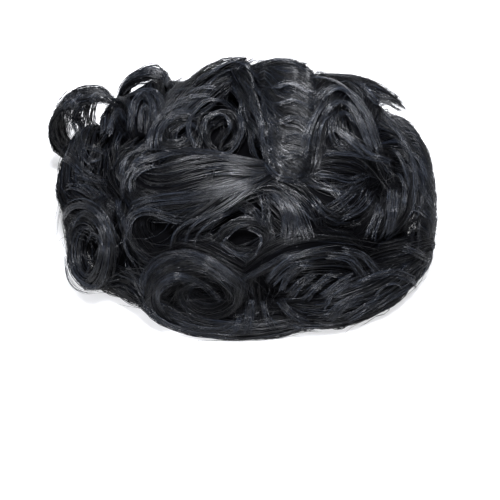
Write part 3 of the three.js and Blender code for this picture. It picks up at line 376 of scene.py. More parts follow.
# Round bundles of strands, given as the wisps are
bundles = [
    (110, 3.5, 4, [(-0.77, 124, 2.6), (-0.82, 124, 2.4), (-0.88, 135, 2.0), (-0.84, 103, 1.7)]),
    (70, 2.5, 3, [(-0.78, 124, 2.7), (-0.82, 120, 2.7), (-0.89, 157, 2.7), (-0.92, 163, 2.1)]),
    (50, 2, 2.5, [(-0.72, 125, 2.2), (-0.75, 119, 2.3), (-0.82, 140, 1.9), (-0.84, 121, 1.5)]),
    (70, 3, 3, [(-0.79, 126, 3.1), (-0.84, 122, 3.1), (-0.9, 152, 2.9), (-0.94, 161, 2.2)]),
    (40, 2.5, 2.5, [(-0.79, 105, 0.7), (-0.78, 131, 1.0), (-0.69, 127, 1.4), (-0.6, 112, 1.4),
        (-0.61, 102, 0.8)]),
    (28, 2, 2, [(-0.77, 106, 0.4), (-0.73, 115, 0.9), (-0.67, 115, 1.1), (-0.64, 105, 0.9)]),
    (40, 2.5, 2.5, [(-0.63, 100, 0.6), (-0.58, 109, 1.3), (-0.51, 110, 1.8), (-0.47, 105, 1.5),
        (-0.47, 92, 1.2)]),
    (24, 2, 2, [(-0.58, 97, 0.5), (-0.54, 104, 1.2), (-0.5, 105, 1.3), (-0.5, 99, 0.8)]),
    (24, 2, 2.5, [(-0.68, 128, 1.5), (-0.6, 125, 2.1), (-0.51, 122, 2.4), (-0.44, 122, 2.3),
        (-0.41, 119, 1.6)]),
    (16, 1.5, 1.5, [(-0.63, 118, 1.5), (-0.53, 115, 1.8), (-0.44, 110, 1.8), (-0.42, 110, 1.1)]),
    (26, 2, 1.2, [(0.54, 125, 2.0), (0.62, 118, 1.8), (0.7, 119, 1.6), (0.8, 141, 1.8)]),
    (34, 2.5, 1.5, [(0.57, 119, 2.0), (0.67, 123, 1.7), (0.75, 133, 1.8), (0.8, 140, 2.2)]),
    (10, 1, 1, [(0.65, 131, 2.1), (0.7, 130, 1.8), (0.69, 116, 1.6)]),
    (8, 0.8, 0.8, [(0.74, 136, 2.2), (0.77, 135, 2.1), (0.78, 144, 1.6)]),
    (14, 1.2, 1, [(-0.05, 120, 1.8), (-0.01, 127, 2.1), (-0.03, 125, 2.6)]),
    (22, 1.5, 1.5, [(-0.05, 125, 2.0), (0.0, 127, 2.0), (0.06, 129, 2.3)]),
]

# Pits between the locks: along, round, radius and depth in mm
hollows = [
    (0.69, 110, 8, 12), (0.73, 104, 8, 12), (0.73, 93, 8, 12), (0.75, 85, 8, 12), (0.77, 80, 8, 12),
    (0.75, 71, 9, 12), (0.71, 62, 8, 8), (0.84, 44, 7, 5), (0.76, 36, 11, 10), (0.65, 38, 12, 10),
    (0.52, 44, 12, 9), (0.42, 45, 10, 6), (0.09, 18, 10, 8), (0.2, 17, 11, 8), (0.31, 21, 9, 7),
    (0.38, 20, 5, 7), (-0.33, 17, 9, 4), (-0.25, 15, 11, 4), (-0.11, 16, 10, 5), (-0.82, 34, 6, 9),
    (0.01, 43, 7, 5), (-0.54, 77, 4, 5), (-0.15, 97, 5, 5), (-0.35, 94, 6, 5), (-0.76, 87, 8, 6),
    (-0.69, 60, 7, 7), (-0.52, 43, 11, 8), (-0.44, 45, 9, 7), (-0.23, 43, 8, 4), (0.14, 50, 5, 6),
    (-0.56, 108, 4, 5), (-0.69, 111, 4, 5), (0.54, 99, 4, 6), (0.4, 90, 4, 6), (-0.65, 19, 6, 5),
    (0.03, 86, 5, 5), (-0.04, 95, 5, 5),
]

# How each lock is combed where it differs from the others: strands for each square centimetre, how far
# they wander in mm, whether they run across the lock, its ripples, fly-away hairs, how far strands lie
# outside the lock's edge, the size of its heart, how far its ends dive into the under-hair, and whether
# strands go all round it. Strands across a lock slant by a share of its length, and may rise and fall in
# waves along it.
comb = {
    "density": 5.2,
    "wander": 0.55,
    "ripple": 0.0,
    "across": False,
    "flyaway": 0.03,
    "feather": 1.22,
    "core": 0.8,
    "sink": 0.75,
    "round": False,
    "slant": 0.03,
    "waves": 0.0,
}
combed = {
    "centre_wave": {
        "across": True, "slant": 0.07, "ripple": 0.05, "density": 12, "wander": 0.5, "core": 0.62
    },
    "front_loop": {"core": 0, "wander": 1.3, "density": 30, "sink": 0, "feather": 1.7, "round": True},
    "front_curtain": {"core": 0, "wander": 1.2, "density": 30, "sink": 0, "feather": 1.6, "round": True},
    "back_loop": {"core": 0.5, "wander": 1.5, "density": 26, "sink": 0, "feather": 1.6, "round": True},
    "eye_curl": {"core": 0, "density": 9, "feather": 1.6},
    "claw_wisp": {"wander": 1.2, "flyaway": 0.1},
    "front_fall": {"wander": 1.6, "flyaway": 0.1},
    "right_outer_band": {"across": True, "slant": 0.055, "wander": 0.7, "flyaway": 0.15, "density": 8},
    "right_inner_band": {"across": True, "slant": 0.13, "wander": 0.6, "flyaway": 0.06, "density": 9},
    "centre_ridge": {"across": True, "slant": 0.1, "waves": 0.35, "wander": 0.5, "density": 12},
    "back_tuft": {"core": 0.4, "wander": 1.6, "flyaway": 0.15, "sink": 0, "density": 9, "round": True},
    "back_point": {"core": 0, "wander": 1.8, "flyaway": 0.2, "sink": 0, "density": 11, "round": True},
    "back_bump": {"sink": 0, "density": 12, "core": 0.6, "wander": 1.0, "round": True},
    "front_barrel": {"sink": 0, "density": 8, "round": True},
}

strand = {
    "radius": 0.19,  # mm; two or three real hairs, because one is too fine to show
    "rings": 10,
    "leastRings": 5,
    "ringTurn": 40,  # degrees that a lock turns for each ring more
    "sides": 3,
    "clump": 6,  # strands in a clump
    "heel": 0.3,  # mm that the ends reach past the first and the last ring
    "tip": 1.2,
    "lowest": 0.05,  # mm above the surface
}

# Strands that run across a lock: half widths that they reach to each side, then shares of the lock's length
# for their scatter, bow and bend, heights of a clump and of its own strands as shares of the lock's, the
# share and the power that flatten the top, and the radians along the lock of its waves and ripples
acrossComb = {
    "reach": 1.15,
    "scatter": 0.014,
    "bow": 0.03,
    "bend": 0.012,
    "clumpHeights": (0.8, 1.02),
    "ownHeights": (-0.1, 0.04),
    "narrowed": 0.9,
    "flatness": 1.9,
    "waveTurn": 44,
    "rippleTurn": 13,
}

# Strands that run along a lock: the share of them that start late or end early and by how much, how much
# all of them do, how loose a clump is at least and what it tightens by, heights as above, and the height
# under which strands are shaded
alongComb = {
    "shortShare": 0.3,
    "shortBy": 0.4,
    "startBy": 0.1,
    "endBy": 0.08,
    "loosest": 0.25,
    "tightens": 0.6,
    "clumpHeights": (0.68, 1.04),
    "ownHeights": (-0.16, 0.03),
    "lowHeight": 0.76,
}
backShare = 0.42  # of a round lock's clumps that lie on its far side
backHeight = 0.9  # of what they would have in front
flyLengths = (1, 5)  # mm

# The hair between and over the locks: guide hairs follow the locks around them, and each leads a few others
guide = {
    "count": 940,
    "steps": 13,
    "step": 4.2,  # mm
    "followers": 5,
    "spread": 1.5,  # mm to each side
    "reach": 7.0,  # mm from a lock's edge that feels its direction
    "blend": 15.0,  # mm over which the heights of locks even out
    "onLock": 0.8,  # share of a lock's half width that counts as on it
    "nearRow": 4.5,  # mm along a lock from one of its rows
    "tallest": 14,  # mm above or below a lock's middle line
    "closeAbove": 10,  # mm above it that count as no distance
    "farReach": 12,  # mm
    "below": 1.5,  # mm under the even height
    "keeps": 0.35,  # share of its own heading that a guide keeps at each step
    "shortBy": 0.25,  # share of a guide that its strands may leave out at each end
    "clumpRise": (-2.4, 0.9),  # mm above the guide
    "ownRise": (-0.6, 0.4),
    "startDive": 2.6,  # mm
    "endDive": 1.4,
    "lowRise": -2,  # mm, under which strands are shaded
}
regions = 5  # pieces that the guide hairs are shared out to, from front to back

infill = {"count": 900, "steps": 9, "step": 5.0}  # short and flat hairs on the under-hair
stray = {"count": 300, "least": 0.8, "most": 6.0, "aside": 7.0, "radius": 0.14}  # mm, hairs that stand away

# mm of depth with most strands shaded, their shares, and the lift under which a wisp lies in the shade
shade = {"full": 3.8, "most": 0.9, "under": 0.6, "lowWisp": 0.5}


def domeSize(out):
    size = np.array([dome["halfLength"], dome["halfWidth"], dome["height"]], float)
    return size + np.reshape(out, (-1, 1))


def onDome(along, roundDeg, out):
    size = domeSize(out)
    ring = (1 - np.minimum(1, np.abs(along)) ** dome["power"]) ** (1 / dome["power"])
    turn = np.radians(roundDeg)
    return size * np.stack([along + 0 * turn, -ring * np.cos(turn), ring * np.sin(turn)], -1)


def dropOnDome(points, out):
    size = domeSize(out)
    share = points / size
    across = np.hypot(share[:, 1], share[:, 2])
    reach = np.abs(share[:, 0]) ** dome["power"] + across ** dome["power"]
    return points * (reach ** (-1 / dome["power"]))[:, None]


def domeNormal(points):
    size = domeSize(dome["lockStart"] + dome["lockDepth"])
    share = points / size
    share[:, 2] = np.maximum(share[:, 2], 0)
    across = np.maximum(np.hypot(share[:, 1], share[:, 2]), 1e-6) ** (dome["power"] - 2)
    along = np.abs(share[:, 0]) ** (dome["power"] - 1) * np.sign(share[:, 0])
    return unit(np.stack([along, across * share[:, 1], across * share[:, 2]], -1) / size)


def unit(vectors):
    return vectors / np.maximum(np.linalg.norm(vectors, axis=-1, keepdims=True), 1e-9)


def liftToOut(lift):
    return dome["lockStart"] + np.asarray(lift, float) * dome["lockDepth"]


# Rows resampled to count rows along a Catmull-Rom curve through them
def smoothRows(rows, count):
    rows = np.asarray(rows, float)
    padded = np.vstack([2 * rows[0] - rows[1], rows, 2 * rows[-1] - rows[-2]])
    at = np.linspace(0, len(rows) - 1, count)
    i = np.minimum(at.astype(int), len(rows) - 2)
    t = (at - i)[:, None]
    a, b, c, d = padded[i], padded[i + 1], padded[i + 2], padded[i + 3]
    return 0.5 * (2 * b + (c - a) * t + (2 * a - 5 * b + 4 * c - d) * t**2 + (3 * b - a - 3 * c + d) * t**3)


def bandRows(rows, shift=0.0, roll=0.0):
    rows = np.array(rows, float)
    spots = onDome(rows[:, 0] + shift, rows[:, 1], liftToOut(rows[:, 2]))
    wide, thick = rows[:, 3] * dome["lockWidth"], rows[:, 4] * dome["lockDepth"]
    return np.column_stack([spots, wide, thick, 0 * wide + roll])


def curlRows(row):
    along, roundDeg, lift, heart, outer, inner, start, turn, stretch, wide, thick = row
    centre = onDome(np.array([along]), np.array([roundDeg]), liftToOut([lift]))
    normal = domeNormal(centre)[0]
    across = unit(np.array([1.0, 0, 0]) - normal * normal[0])
    upward = np.cross(normal, across)
    share = np.linspace(0, 1, max(6, round(abs(turn) / 24)) + 1)[:, None]
    angle = np.radians(start + share * turn)
    radius = dome["lockWidth"] * (outer + (inner - outer) * share)
    spots = centre + across * radius * stretch * np.cos(angle) + upward * radius / stretch * np.sin(angle)
    spots = dropOnDome(spots, liftToOut(lift + (heart - lift) * share[:, 0]))
    end = np.minimum(1, 0.45 + 1.8 * np.minimum(share, 1 - share))
    wide, thick = end * wide * dome["lockWidth"], end * thick * dome["lockDepth"]
    return np.column_stack([spots, wide, thick, 0 * share])


def loopRows(rows):
    rows = np.array(rows, float)
    spots = rows[:, :3] * domeSize(dome["lockStart"] + dome["lockDepth"])
    wide, thick = rows[:, 3] * dome["lockWidth"], rows[:, 4] * dome["lockDepth"]
    return np.column_stack([spots, wide, thick, 0 * wide])


# Where a lock's ends dive: shares of the lock width, of the end's width and of its depth, mm above the foot
dive = {"reach": 0.37, "wide": 0.75, "thick": 0.5, "above": 2}


# One more section past each end, where the lock dives into the under-hair
def sunkEnds(rows, sink):
    if not sink:
        return rows
    ends = []
    for tip, before in ((rows[0], rows[1]), (rows[-1], rows[-2])):
        end = tip.copy()
        reach = unit(tip[:3] - before[:3]) * dive["reach"] * dome["lockWidth"] * sink
        end[:3] = dropOnDome((tip[:3] + reach)[None], np.array([dome["underHairTop"]]))[0]
        end[2] = max(end[2], dome["hairFoot"] + dive["above"])
        end[3] *= dive["wide"]
        end[4] *= dive["thick"]
        ends.append(end)
    return np.vstack([ends[0], rows, ends[1]])


# The middle line of a lock with its frame: points, tangents, ups, sides, half widths and half depths
def lockLine(rows, standing, sink):
    fine = smoothRows(sunkEnds(rows, sink), 72)
    points = fine[:, :3]
    tangent = unit(np.gradient(points, axis=0))
    up = points - 0.425 * (rows[0, :3] + rows[-1, :3]) if standing else domeNormal(points)
    up = unit(up - tangent * np.sum(up * tangent, 1, keepdims=True))
    side = np.cross(tangent, up)
    roll = np.radians(fine[:, 5:6])
    up, side = up * np.cos(roll) - side * np.sin(roll), side * np.cos(roll) + up * np.sin(roll)
    return {
        "points": points,
        "tangent": tangent,
        "up": up,
        "side": side,
        "halfWide": np.maximum(fine[:, 3], 0.5) / 2,
        "halfThick": np.maximum(fine[:, 4], 0.5) / 2,
        "length": np.sum(np.linalg.norm(np.diff(points, axis=0), axis=1)),
    }


# A column of the lock's line read at the shares t, which has one row for each strand
def readLine(line, key, t):
    grid = np.linspace(0, 1, len(line["points"]))
    column = line[key]
    if column.ndim == 1:
        return np.interp(t, grid, column)
    return np.stack([np.interp(t, grid, column[:, k]) for k in range(3)], -1)


# A slow wander of each strand, most of it shared by the strands of its clump
def wander(rng, clump, t, size):
    clumps = clump.max() + 1
    total = np.zeros_like(t)
    for turns, strength in ((1.1, 0.6), (2.3, 0.3), (4.5, 0.12)):
        shared = rng.uniform(0, 2 * math.pi, clumps)[clump]
        own = rng.uniform(0, 2 * math.pi, len(clump))
        total += strength * np.sin(2 * math.pi * turns * t + shared[:, None])
        total += 0.4 * strength * np.sin(2 * math.pi * 1.3 * turns * t + own[:, None])
    return size * total


# How high a strand lies on a lock at its place across it: round on top, and a skirt outside the edge
def lockProfile(a):
    inside = np.sqrt(np.maximum(0, 1 - np.minimum(1, np.abs(a)) ** 2.2))
    return inside - 1.5 * np.maximum(0, np.abs(a) - 0.97)


# How many rings a strand needs along a lock, from how far the lock turns
def ringCount(line):
    steps = np.sum(line["tangent"][1:] * line["tangent"][:-1], 1)
    turned = np.degrees(np.sum(np.arccos(np.clip(steps, -1, 1))))
    return int(np.clip(strand["leastRings"] + turned / strand["ringTurn"], 7, 17))


# A number for each strand, part of it shared by its clump
def clumped(rng, clump, shared, own):
    return (rng.uniform(*shared, clump.max() + 1)[clump] + rng.uniform(*own, len(clump)))[:, None]


def clumpTone(rng, clump):
    return 0.6 * rng.random(clump.max() + 1)[clump] + 0.4 * rng.random(len(clump))


# Shares from 0 to 1 by which each clump swells and shrinks along its strands
def swell(rng, clump, t, turns):
    pace = rng.uniform(*turns, clump.max() + 1)[clump][:, None]
    first = rng.uniform(0, 1, clump.max() + 1)[clump][:, None]
    return np.sin(math.pi * (t * pace + first)) ** 2


# Points aside from a line and above it, at the shares t
def offLine(line, t, aside, above):
    points = readLine(line, "points", t) + readLine(line, "side", t) * aside[..., None]
    return points + readLine(line, "up", t) * above[..., None]


# Strands across a lock: shares along it, places across and above it, and their chances to be shaded
def acrossLock(look, clump, share, rng):
    count = len(clump)
    direction = np.where(rng.random(count) < 0.5, -1, 1)[:, None]
    a = acrossComb["reach"] * (2 * share - 1) * direction
    scatter = rng.normal(0, acrossComb["scatter"], count)
    place = (np.linspace(0.01, 0.99, clump.max() + 1)[clump] + scatter)[:, None]
    bent = acrossComb["bow"] * (1 - a**2) + acrossComb["bend"] * np.sin(5 * a)
    t = np.clip(place - look["slant"] * a + bent, 0, 1)
    level = clumped(rng, clump, acrossComb["clumpHeights"], acrossComb["ownHeights"])
    flat = np.sign(a) * np.abs(acrossComb["narrowed"] * a) ** acrossComb["flatness"]
    rippled = look["ripple"] * np.sin(acrossComb["rippleTurn"] * t + 0.6)
    b = level * lockProfile(flat + rippled) + look["ripple"] * np.sin(6 * a + 7 * t)
    return t, a, b + look["waves"] * np.sin(acrossComb["waveTurn"] * t + 2 * a), np.zeros(count)


# The same for strands along a lock
def alongLock(look, clump, share, rng):
    count, clumps = len(clump), clump.max() + 1
    cuts = []
    for least in ("startBy", "endBy"):
        cut = rng.uniform(0, alongComb[least], count)
        isShort = rng.random(count) < alongComb["shortShare"]
        cuts.append(cut + isShort * rng.uniform(0, alongComb["shortBy"], count))
    start, end = cuts[0], 1 - cuts[1]
    t = start[:, None] + (end - start)[:, None] * share
    middle = rng.permutation(np.linspace(-1, 1, clumps)) * look["feather"] * 0.93
    own = middle[clump] + rng.normal(0, 1.2 / clumps + 0.12, count)
    tight = alongComb["loosest"] + alongComb["tightens"] * swell(rng, clump, t, (0.6, 1.6))
    a = own[:, None] * (1 - tight) + middle[clump][:, None] * tight
    level = clumped(rng, clump, alongComb["clumpHeights"], alongComb["ownHeights"])
    isLow = (np.abs(a).mean(axis=1) > 1) | (level[:, 0] < alongComb["lowHeight"])
    return t, a, level * lockProfile(a), np.where(isLow, shade["under"], 0)


# The strands of a lock: points, ups, radii, a tone for each and whether it is shaded
def combLock(line, look, rng):
    area = line["length"] * 2 * (line["halfWide"].mean() + line["halfThick"].mean())
    clumps = max(3, int(look["density"] * area / 100 / strand["clump"]))
    clump = np.repeat(np.arange(clumps), strand["clump"])
    count = len(clump)
    share = np.linspace(0, 1, strand["rings"] if look["across"] else ringCount(line))[None, :]
    layLock = acrossLock if look["across"] else alongLock
    t, a, b, low = layLock(look, clump, share, rng)
    if look["round"]:
        b = b * np.where(rng.random(clumps)[clump] < backShare, -backHeight, 1)[:, None]
    drift = wander(rng, clump, t, look["wander"])
    rise = wander(rng, clump, t, 0.6 * look["wander"])
    fly = (rng.random(count) < look["flyaway"])[:, None] * share**2
    fly = fly * rng.uniform(*flyLengths, count)[:, None]
    above = readLine(line, "halfThick", t) * b + rise + fly
    aside = readLine(line, "halfWide", t) * a + drift + fly * rng.uniform(-1, 1, count)[:, None]
    points = offLine(line, t, aside, above)
    radius = strand["radius"] * rng.uniform(0.75, 1.2, count)[:, None] * (1.02 - share**5 * 0.75)
    radius = np.where(fly[:, -1:] > 0, 0.6 * radius, radius)
    tone = clumpTone(rng, clump)
    shaded = shadedStrands(points, low, rng)
    points, up = keptAbove(hollowed(points)), readLine(line, "up", t)
    return {"points": points, "up": up, "radius": radius, "tone": tone, "shaded": shaded}


pits = np.array(hollows)
pitSpots = onDome(pits[:, 0], pits[:, 1], dome["lockStart"] + 0.8 * dome["lockDepth"])


# How many mm the pits sink hair at the given points
def pitDepth(flat):
    sunk = np.zeros(len(flat))
    for spot, (radius, depth) in zip(pitSpots, pits[:, 2:]):
        sunk += depth * np.exp(-(np.sum((flat - spot) ** 2, 1) / radius**2))
    return sunk


# The given points, with those near a pit sunk towards the dome
def hollowed(points):
    flat = points.reshape(-1, 3)
    return (flat - domeNormal(flat) * pitDepth(flat)[:, None]).reshape(points.shape)


# Which strands are shaded: most of those in a pit, and those that the given share of the others names
def shadedStrands(points, others, rng):
    deep = pitDepth(points.reshape(-1, 3)).reshape(points.shape[:2]).mean(axis=1)
    return rng.random(len(deep)) < np.maximum(np.clip(deep / shade["full"], 0, shade["most"]), others)


# No hair goes below the surface that the hairpiece lies on
def keptAbove(points):
    points[..., 2] = np.maximum(points[..., 2], 0.5 + 0.25 * np.sin(points[..., 0]))
    return points


# The solid heart of a lock: a grooved loft with pointed ends
def coreBody(line, size, sides=18, rings=30):
    at = np.linspace(0.02, 0.98, rings)
    turn = np.linspace(0, 2 * math.pi, sides, endpoint=False)
    grooves = 1 + 0.05 * np.sin(5 * turn) + 0.04 * np.sin(9 * turn + 1)
    wide = (size * readLine(line, "halfWide", at))[:, None] * (grooves * np.cos(turn))[None]
    thick = (size * readLine(line, "halfThick", at))[:, None] * (grooves * np.sin(turn))[None]
    rim = readLine(line, "points", at)[:, None] + readLine(line, "side", at)[:, None] * wide[..., None]
    rim = rim + readLine(line, "up", at)[:, None] * thick[..., None]
    tips = readLine(line, "points", np.array([0.0, 1.0]))
    return keptAbove(hollowed(rim)), keptAbove(tips)


# Closed tubes: rims is strands x rings x sides x 3, tips is strands x 2 x 3; a tone and a number of the
# piece's materials for each strand
def tubes(rims, tips, tones, material):
    strands, rings, sides, _ = rims.shape
    each = rings * sides + 2
    first = each * np.arange(strands)
    ring, side = np.meshgrid(np.arange(rings - 1), np.arange(sides), indexing="ij")
    here = (ring * sides + side).ravel()
    beside = (ring * sides + (side + 1) % sides).ravel()
    quads = np.stack([here, beside, beside + sides, here + sides], -1)
    edge = np.arange(sides)
    last = (rings - 1) * sides
    startCap = np.stack([(edge + 1) % sides, edge, 0 * edge + rings * sides], -1)
    endCap = np.stack([last + edge, last + (edge + 1) % sides, 0 * edge + rings * sides + 1], -1)
    faces = []
    for part in (quads, startCap, endCap):
        faces.append((first[:, None, None] + part[None]).reshape(-1, part.shape[1]))
    lane = np.append(np.tile(np.arange(sides) / sides, rings), [0, 0])
    level = np.append(np.repeat(np.linspace(0, 1, rings), sides), [0, 1])
    spread = lane if sides > 3 else 0 * lane
    return {
        "points": np.concatenate([rims.reshape(strands, -1, 3), tips], 1).reshape(-1, 3),
        "faces": faces,
        "uv": np.stack([np.repeat(tones, each) + np.tile(spread, strands), np.tile(level, strands)], -1),
        "material": material,
    }


def strandTubes(hairs):
    points, radius = hairs["points"], hairs["radius"]
    tangent = unit(np.gradient(points, axis=1))
    side = unit(np.cross(tangent, hairs["up"]))
    up = np.cross(side, tangent)
    turn = np.linspace(0, 2 * math.pi, strand["sides"], endpoint=False) + math.pi / 2
    ring = side[:, :, None, :] * np.cos(turn)[None, None, :, None]
    ring = ring + up[:, :, None, :] * np.sin(turn)[None, None, :, None]
    rims = points[:, :, None, :] + ring * radius[:, :, None, None]
    heel = points[:, 0] - tangent[:, 0] * strand["heel"]
    tips = np.stack([heel, points[:, -1] + tangent[:, -1] * strand["tip"]], 1)
    shaded = hairs.get("shaded", np.zeros(len(points)))
    return tubes(rims, tips, hairs["tone"], shaded.astype(int))


# One closed mesh of all the given tubes
def hairPiece(name, parts, materials):
    points = np.concatenate([part["points"] for part in parts])
    points[:, 2] = np.maximum(points[:, 2], strand["lowest"])
    corners, sizes, uvs, slots = [], [], [], []
    first = 0
    for part in parts:
        for faces in part["faces"]:
            corners.append((faces + first).ravel())
            sizes.append(np.full(len(faces), faces.shape[1]))
            slots.append(np.repeat(part["material"], len(faces) // len(part["material"])))
        uvs.append(part["uv"])
        first += len(part["points"])
    corners = np.concatenate(corners).astype(np.int32)
    sizes = np.concatenate(sizes).astype(np.int32)
    mesh = bpy.data.meshes.new(name)
    mesh.vertices.add(len(points))
    mesh.vertices.foreach_set("co", ((points + domeCentre) * mm).astype(np.float32).ravel())
    mesh.loops.add(len(corners))
    mesh.loops.foreach_set("vertex_index", corners)
    mesh.polygons.add(len(sizes))
    mesh.polygons.foreach_set("loop_start", np.concatenate([[0], np.cumsum(sizes)[:-1]]).astype(np.int32))
    mesh.polygons.foreach_set("use_smooth", np.ones(len(sizes), bool))
    mesh.polygons.foreach_set("material_index", np.concatenate(slots).astype(np.int32))
    layer = mesh.uv_layers.new(name="strands")
    layer.data.foreach_set("uv", np.concatenate(uvs)[corners].astype(np.float32).ravel())
    mesh.update(calc_edges=True)
    piece = bpy.data.objects.new(name, mesh)
    bpy.context.scene.collection.objects.link(piece)
    for material in materials:
        mesh.materials.append(material)
    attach(piece, "root")
    return piece, int(np.sum(sizes - 2))


# An sRGB hex value as linear red, green and blue with full alpha
def linearColour(code):
    parts = [int(code[i : i + 2], 16) / 255 for i in (1, 3, 5)]
    return tuple(c / 12.92 if c <= 0.04045 else ((c + 0.055) / 1.055) ** 2.4 for c in parts) + (1.0,)


# One shader node; settings name its properties or input sockets, links its inputs' sources
def addNode(tree, kind, settings=None, links=None):
    node = tree.nodes.new(kind)
    for key, value in (settings or {}).items():
        if key in node.inputs:
            node.inputs[key].default_value = value
        else:
            setattr(node, key, value)
    for key, source in (links or {}).items():
        tree.links.new(source, node.inputs[key])
    return node


def setRamp(node, stops):
    elements = node.color_ramp.elements
    while len(elements) < len(stops):
        elements.new(0.5)
    for element, (place, code) in zip(elements, stops):
        element.position = place
        element.color = linearColour(code)


# Dyed human hair: near black with a cool cast. Smooth cuticle gives bright lines and lifted cuticle dull
# ones. The other copies are painted light and shade. The wisps' copy is glossier and painted lighter as a
# highlight. Strands under others get a copy painted darker as shade. Hair packed in the heart of a lock,
# which traps the light, gets a near-black copy with hardly any reflection as painted shade.
# Roughness goes from dark strands to bright ones.
hairLooks = {
    "dyedHumanHair": {
        "stops": [(0.4, "#010202"), (0.52, "#07080b"), (0.64, "#1d2129")],
        "roughness": (0.46, 0.14),
        "ior": 1.55,
    },
    # Wisps: lower roughness for real gloss, and a lighter colour as a painted highlight
    "glossyHighlightHumanHair": {
        "stops": [(0.4, "#08090b"), (0.52, "#1a1c21"), (0.64, "#363b44")],
        "roughness": (0.32, 0.18),
        "ior": 1.55,
    },
    "shadedHumanHair": {
        "stops": [(0.4, "#020203"), (0.64, "#0b0c0f")],
        "roughness": (0.6, 0.4),
        "ior": 1.22,
    },
    # Lock hearts and the under-hair shell: near black with hardly any reflection, painted shade
    "shadeFillHumanHair": {
        "stops": [(0.3, "#010102"), (0.6, "#040405")],
        "roughness": (0.75, 0.6),
        "ior": 1.08,
    },
}
hairGrain = {
    "specular": 0.36,
    "acrossScale": 37,  # changes of tone from one strand to the next
    "alongScale": 1.6,  # changes of tone over the length of a strand
    "detail": 4,
}


def newMaterial(name):
    material = bpy.data.materials.new(name)
    material.use_nodes = True
    return material, material.node_tree, material.node_tree.nodes["Principled BSDF"].inputs


def hairMaterial(name, look):
    material, tree, sockets = newMaterial(name)
    sockets["IOR"].default_value = look["ior"]
    sockets["Specular IOR Level"].default_value = hairGrain["specular"]
    uv = addNode(tree, "ShaderNodeUVMap", {"uv_map": "strands"})
    scale = (hairGrain["acrossScale"], hairGrain["alongScale"], 1)
    spread = addNode(tree, "ShaderNodeMapping", {"Scale": scale}, {"Vector": uv.outputs["UV"]})
    grain = {"Scale": 1.0, "Detail": hairGrain["detail"]}
    noise = addNode(tree, "ShaderNodeTexNoise", grain, {"Vector": spread.outputs["Vector"]})
    ramp = addNode(tree, "ShaderNodeValToRGB", links={"Fac": noise.outputs["Fac"]})
    setRamp(ramp, look["stops"])
    tree.links.new(ramp.outputs["Color"], sockets["Base Color"])
    (dark, _), (bright, _) = look["stops"][0], look["stops"][-1]
    dull, smooth = look["roughness"]
    spans = {"From Min": dark, "From Max": bright, "To Min": dull, "To Max": smooth}
    dullness = addNode(tree, "ShaderNodeMapRange", spans, {"Value": noise.outputs["Fac"]})
    tree.links.new(dullness.outputs["Result"], sockets["Roughness"])
    return material


strandHair, wispHighlightHair, shadedHair, shadeFillHair = [hairMaterial(*item) for item in hairLooks.items()]


def pieceName(node):
    words = node.split("_")
    return words[0] + "".join(word.capitalize() for word in words[1:]) + "Hair"


def lookOf(name):
    return {**comb, **combed.get(name, {})}


lines = {}
for name, row in curls.items():
    lines[name] = lockLine(curlRows(row), False, lookOf(name)["sink"])
for name, rows in bands.items():
    lines[name] = lockLine(bandRows(rows, roll=rolls.get(name, 0)), False, lookOf(name)["sink"])
for i in range(backFallCount):
    shift = backFallReach * (2 * i / (backFallCount - 1) - 1)
    lines[f"back_fall_{i + 1}"] = lockLine(bandRows(backFall, shift), False, comb["sink"])
lying = list(lines)
for name, rows in loops.items():
    lines[name] = lockLine(loopRows(rows), True, lookOf(name)["sink"])

total = 0
for index, (name, line) in enumerate(lines.items()):
    rng = np.random.default_rng(100 + index)
    look = lookOf(name)
    parts = [strandTubes(combLock(line, look, rng))]
    if look["core"]:
        rim, tips = coreBody(line, look["core"])
        # The heart takes the near-black shade-fill material, painted shade between the strands
        parts.append(tubes(rim[None], tips[None], np.array([0.5]), np.array([2])))
    piece, triangles = hairPiece(pieceName(name), parts, [strandHair, shadedHair, shadeFillHair])
    total += triangles
    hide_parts(name)
print("locks combed:", len(lines), "pieces,", total, "triangles")


# How far outside the base each point lies
def outOf(points):
    low, high = np.full(len(points), -20.0), np.full(len(points), 60.0)
    for _ in range(22):
        middle = (low + high) / 2
        share = points / domeSize(middle)
        reach = np.abs(share[:, 0]) ** dome["power"] + np.hypot(share[:, 1], share[:, 2]) ** dome["power"]
        low, high = np.where(reach > 1, middle, low), np.where(reach > 1, high, middle)
    return (low + high) / 2


# The rows of the locks that lie on the dome, which the hair between them follows
fieldKeys = ("points", "tangent", "side", "up", "halfWide", "halfThick")
field = {key: np.concatenate([lines[name][key][2:-2:3] for name in lying]) for key in fieldKeys}
field["out"] = outOf(field["points"])


# The way that the strands of a lock run along its middle line
def lockWay(name):
    line, look = lines[name], lookOf(name)
    if not look["across"]:
        return line["tangent"]
    slanted = line["tangent"] * look["slant"] * line["length"]
    return unit(line["side"] * line["halfWide"][:, None] - slanted)


field["way"] = np.concatenate([lockWay(name)[2:-2:3] for name in lying])


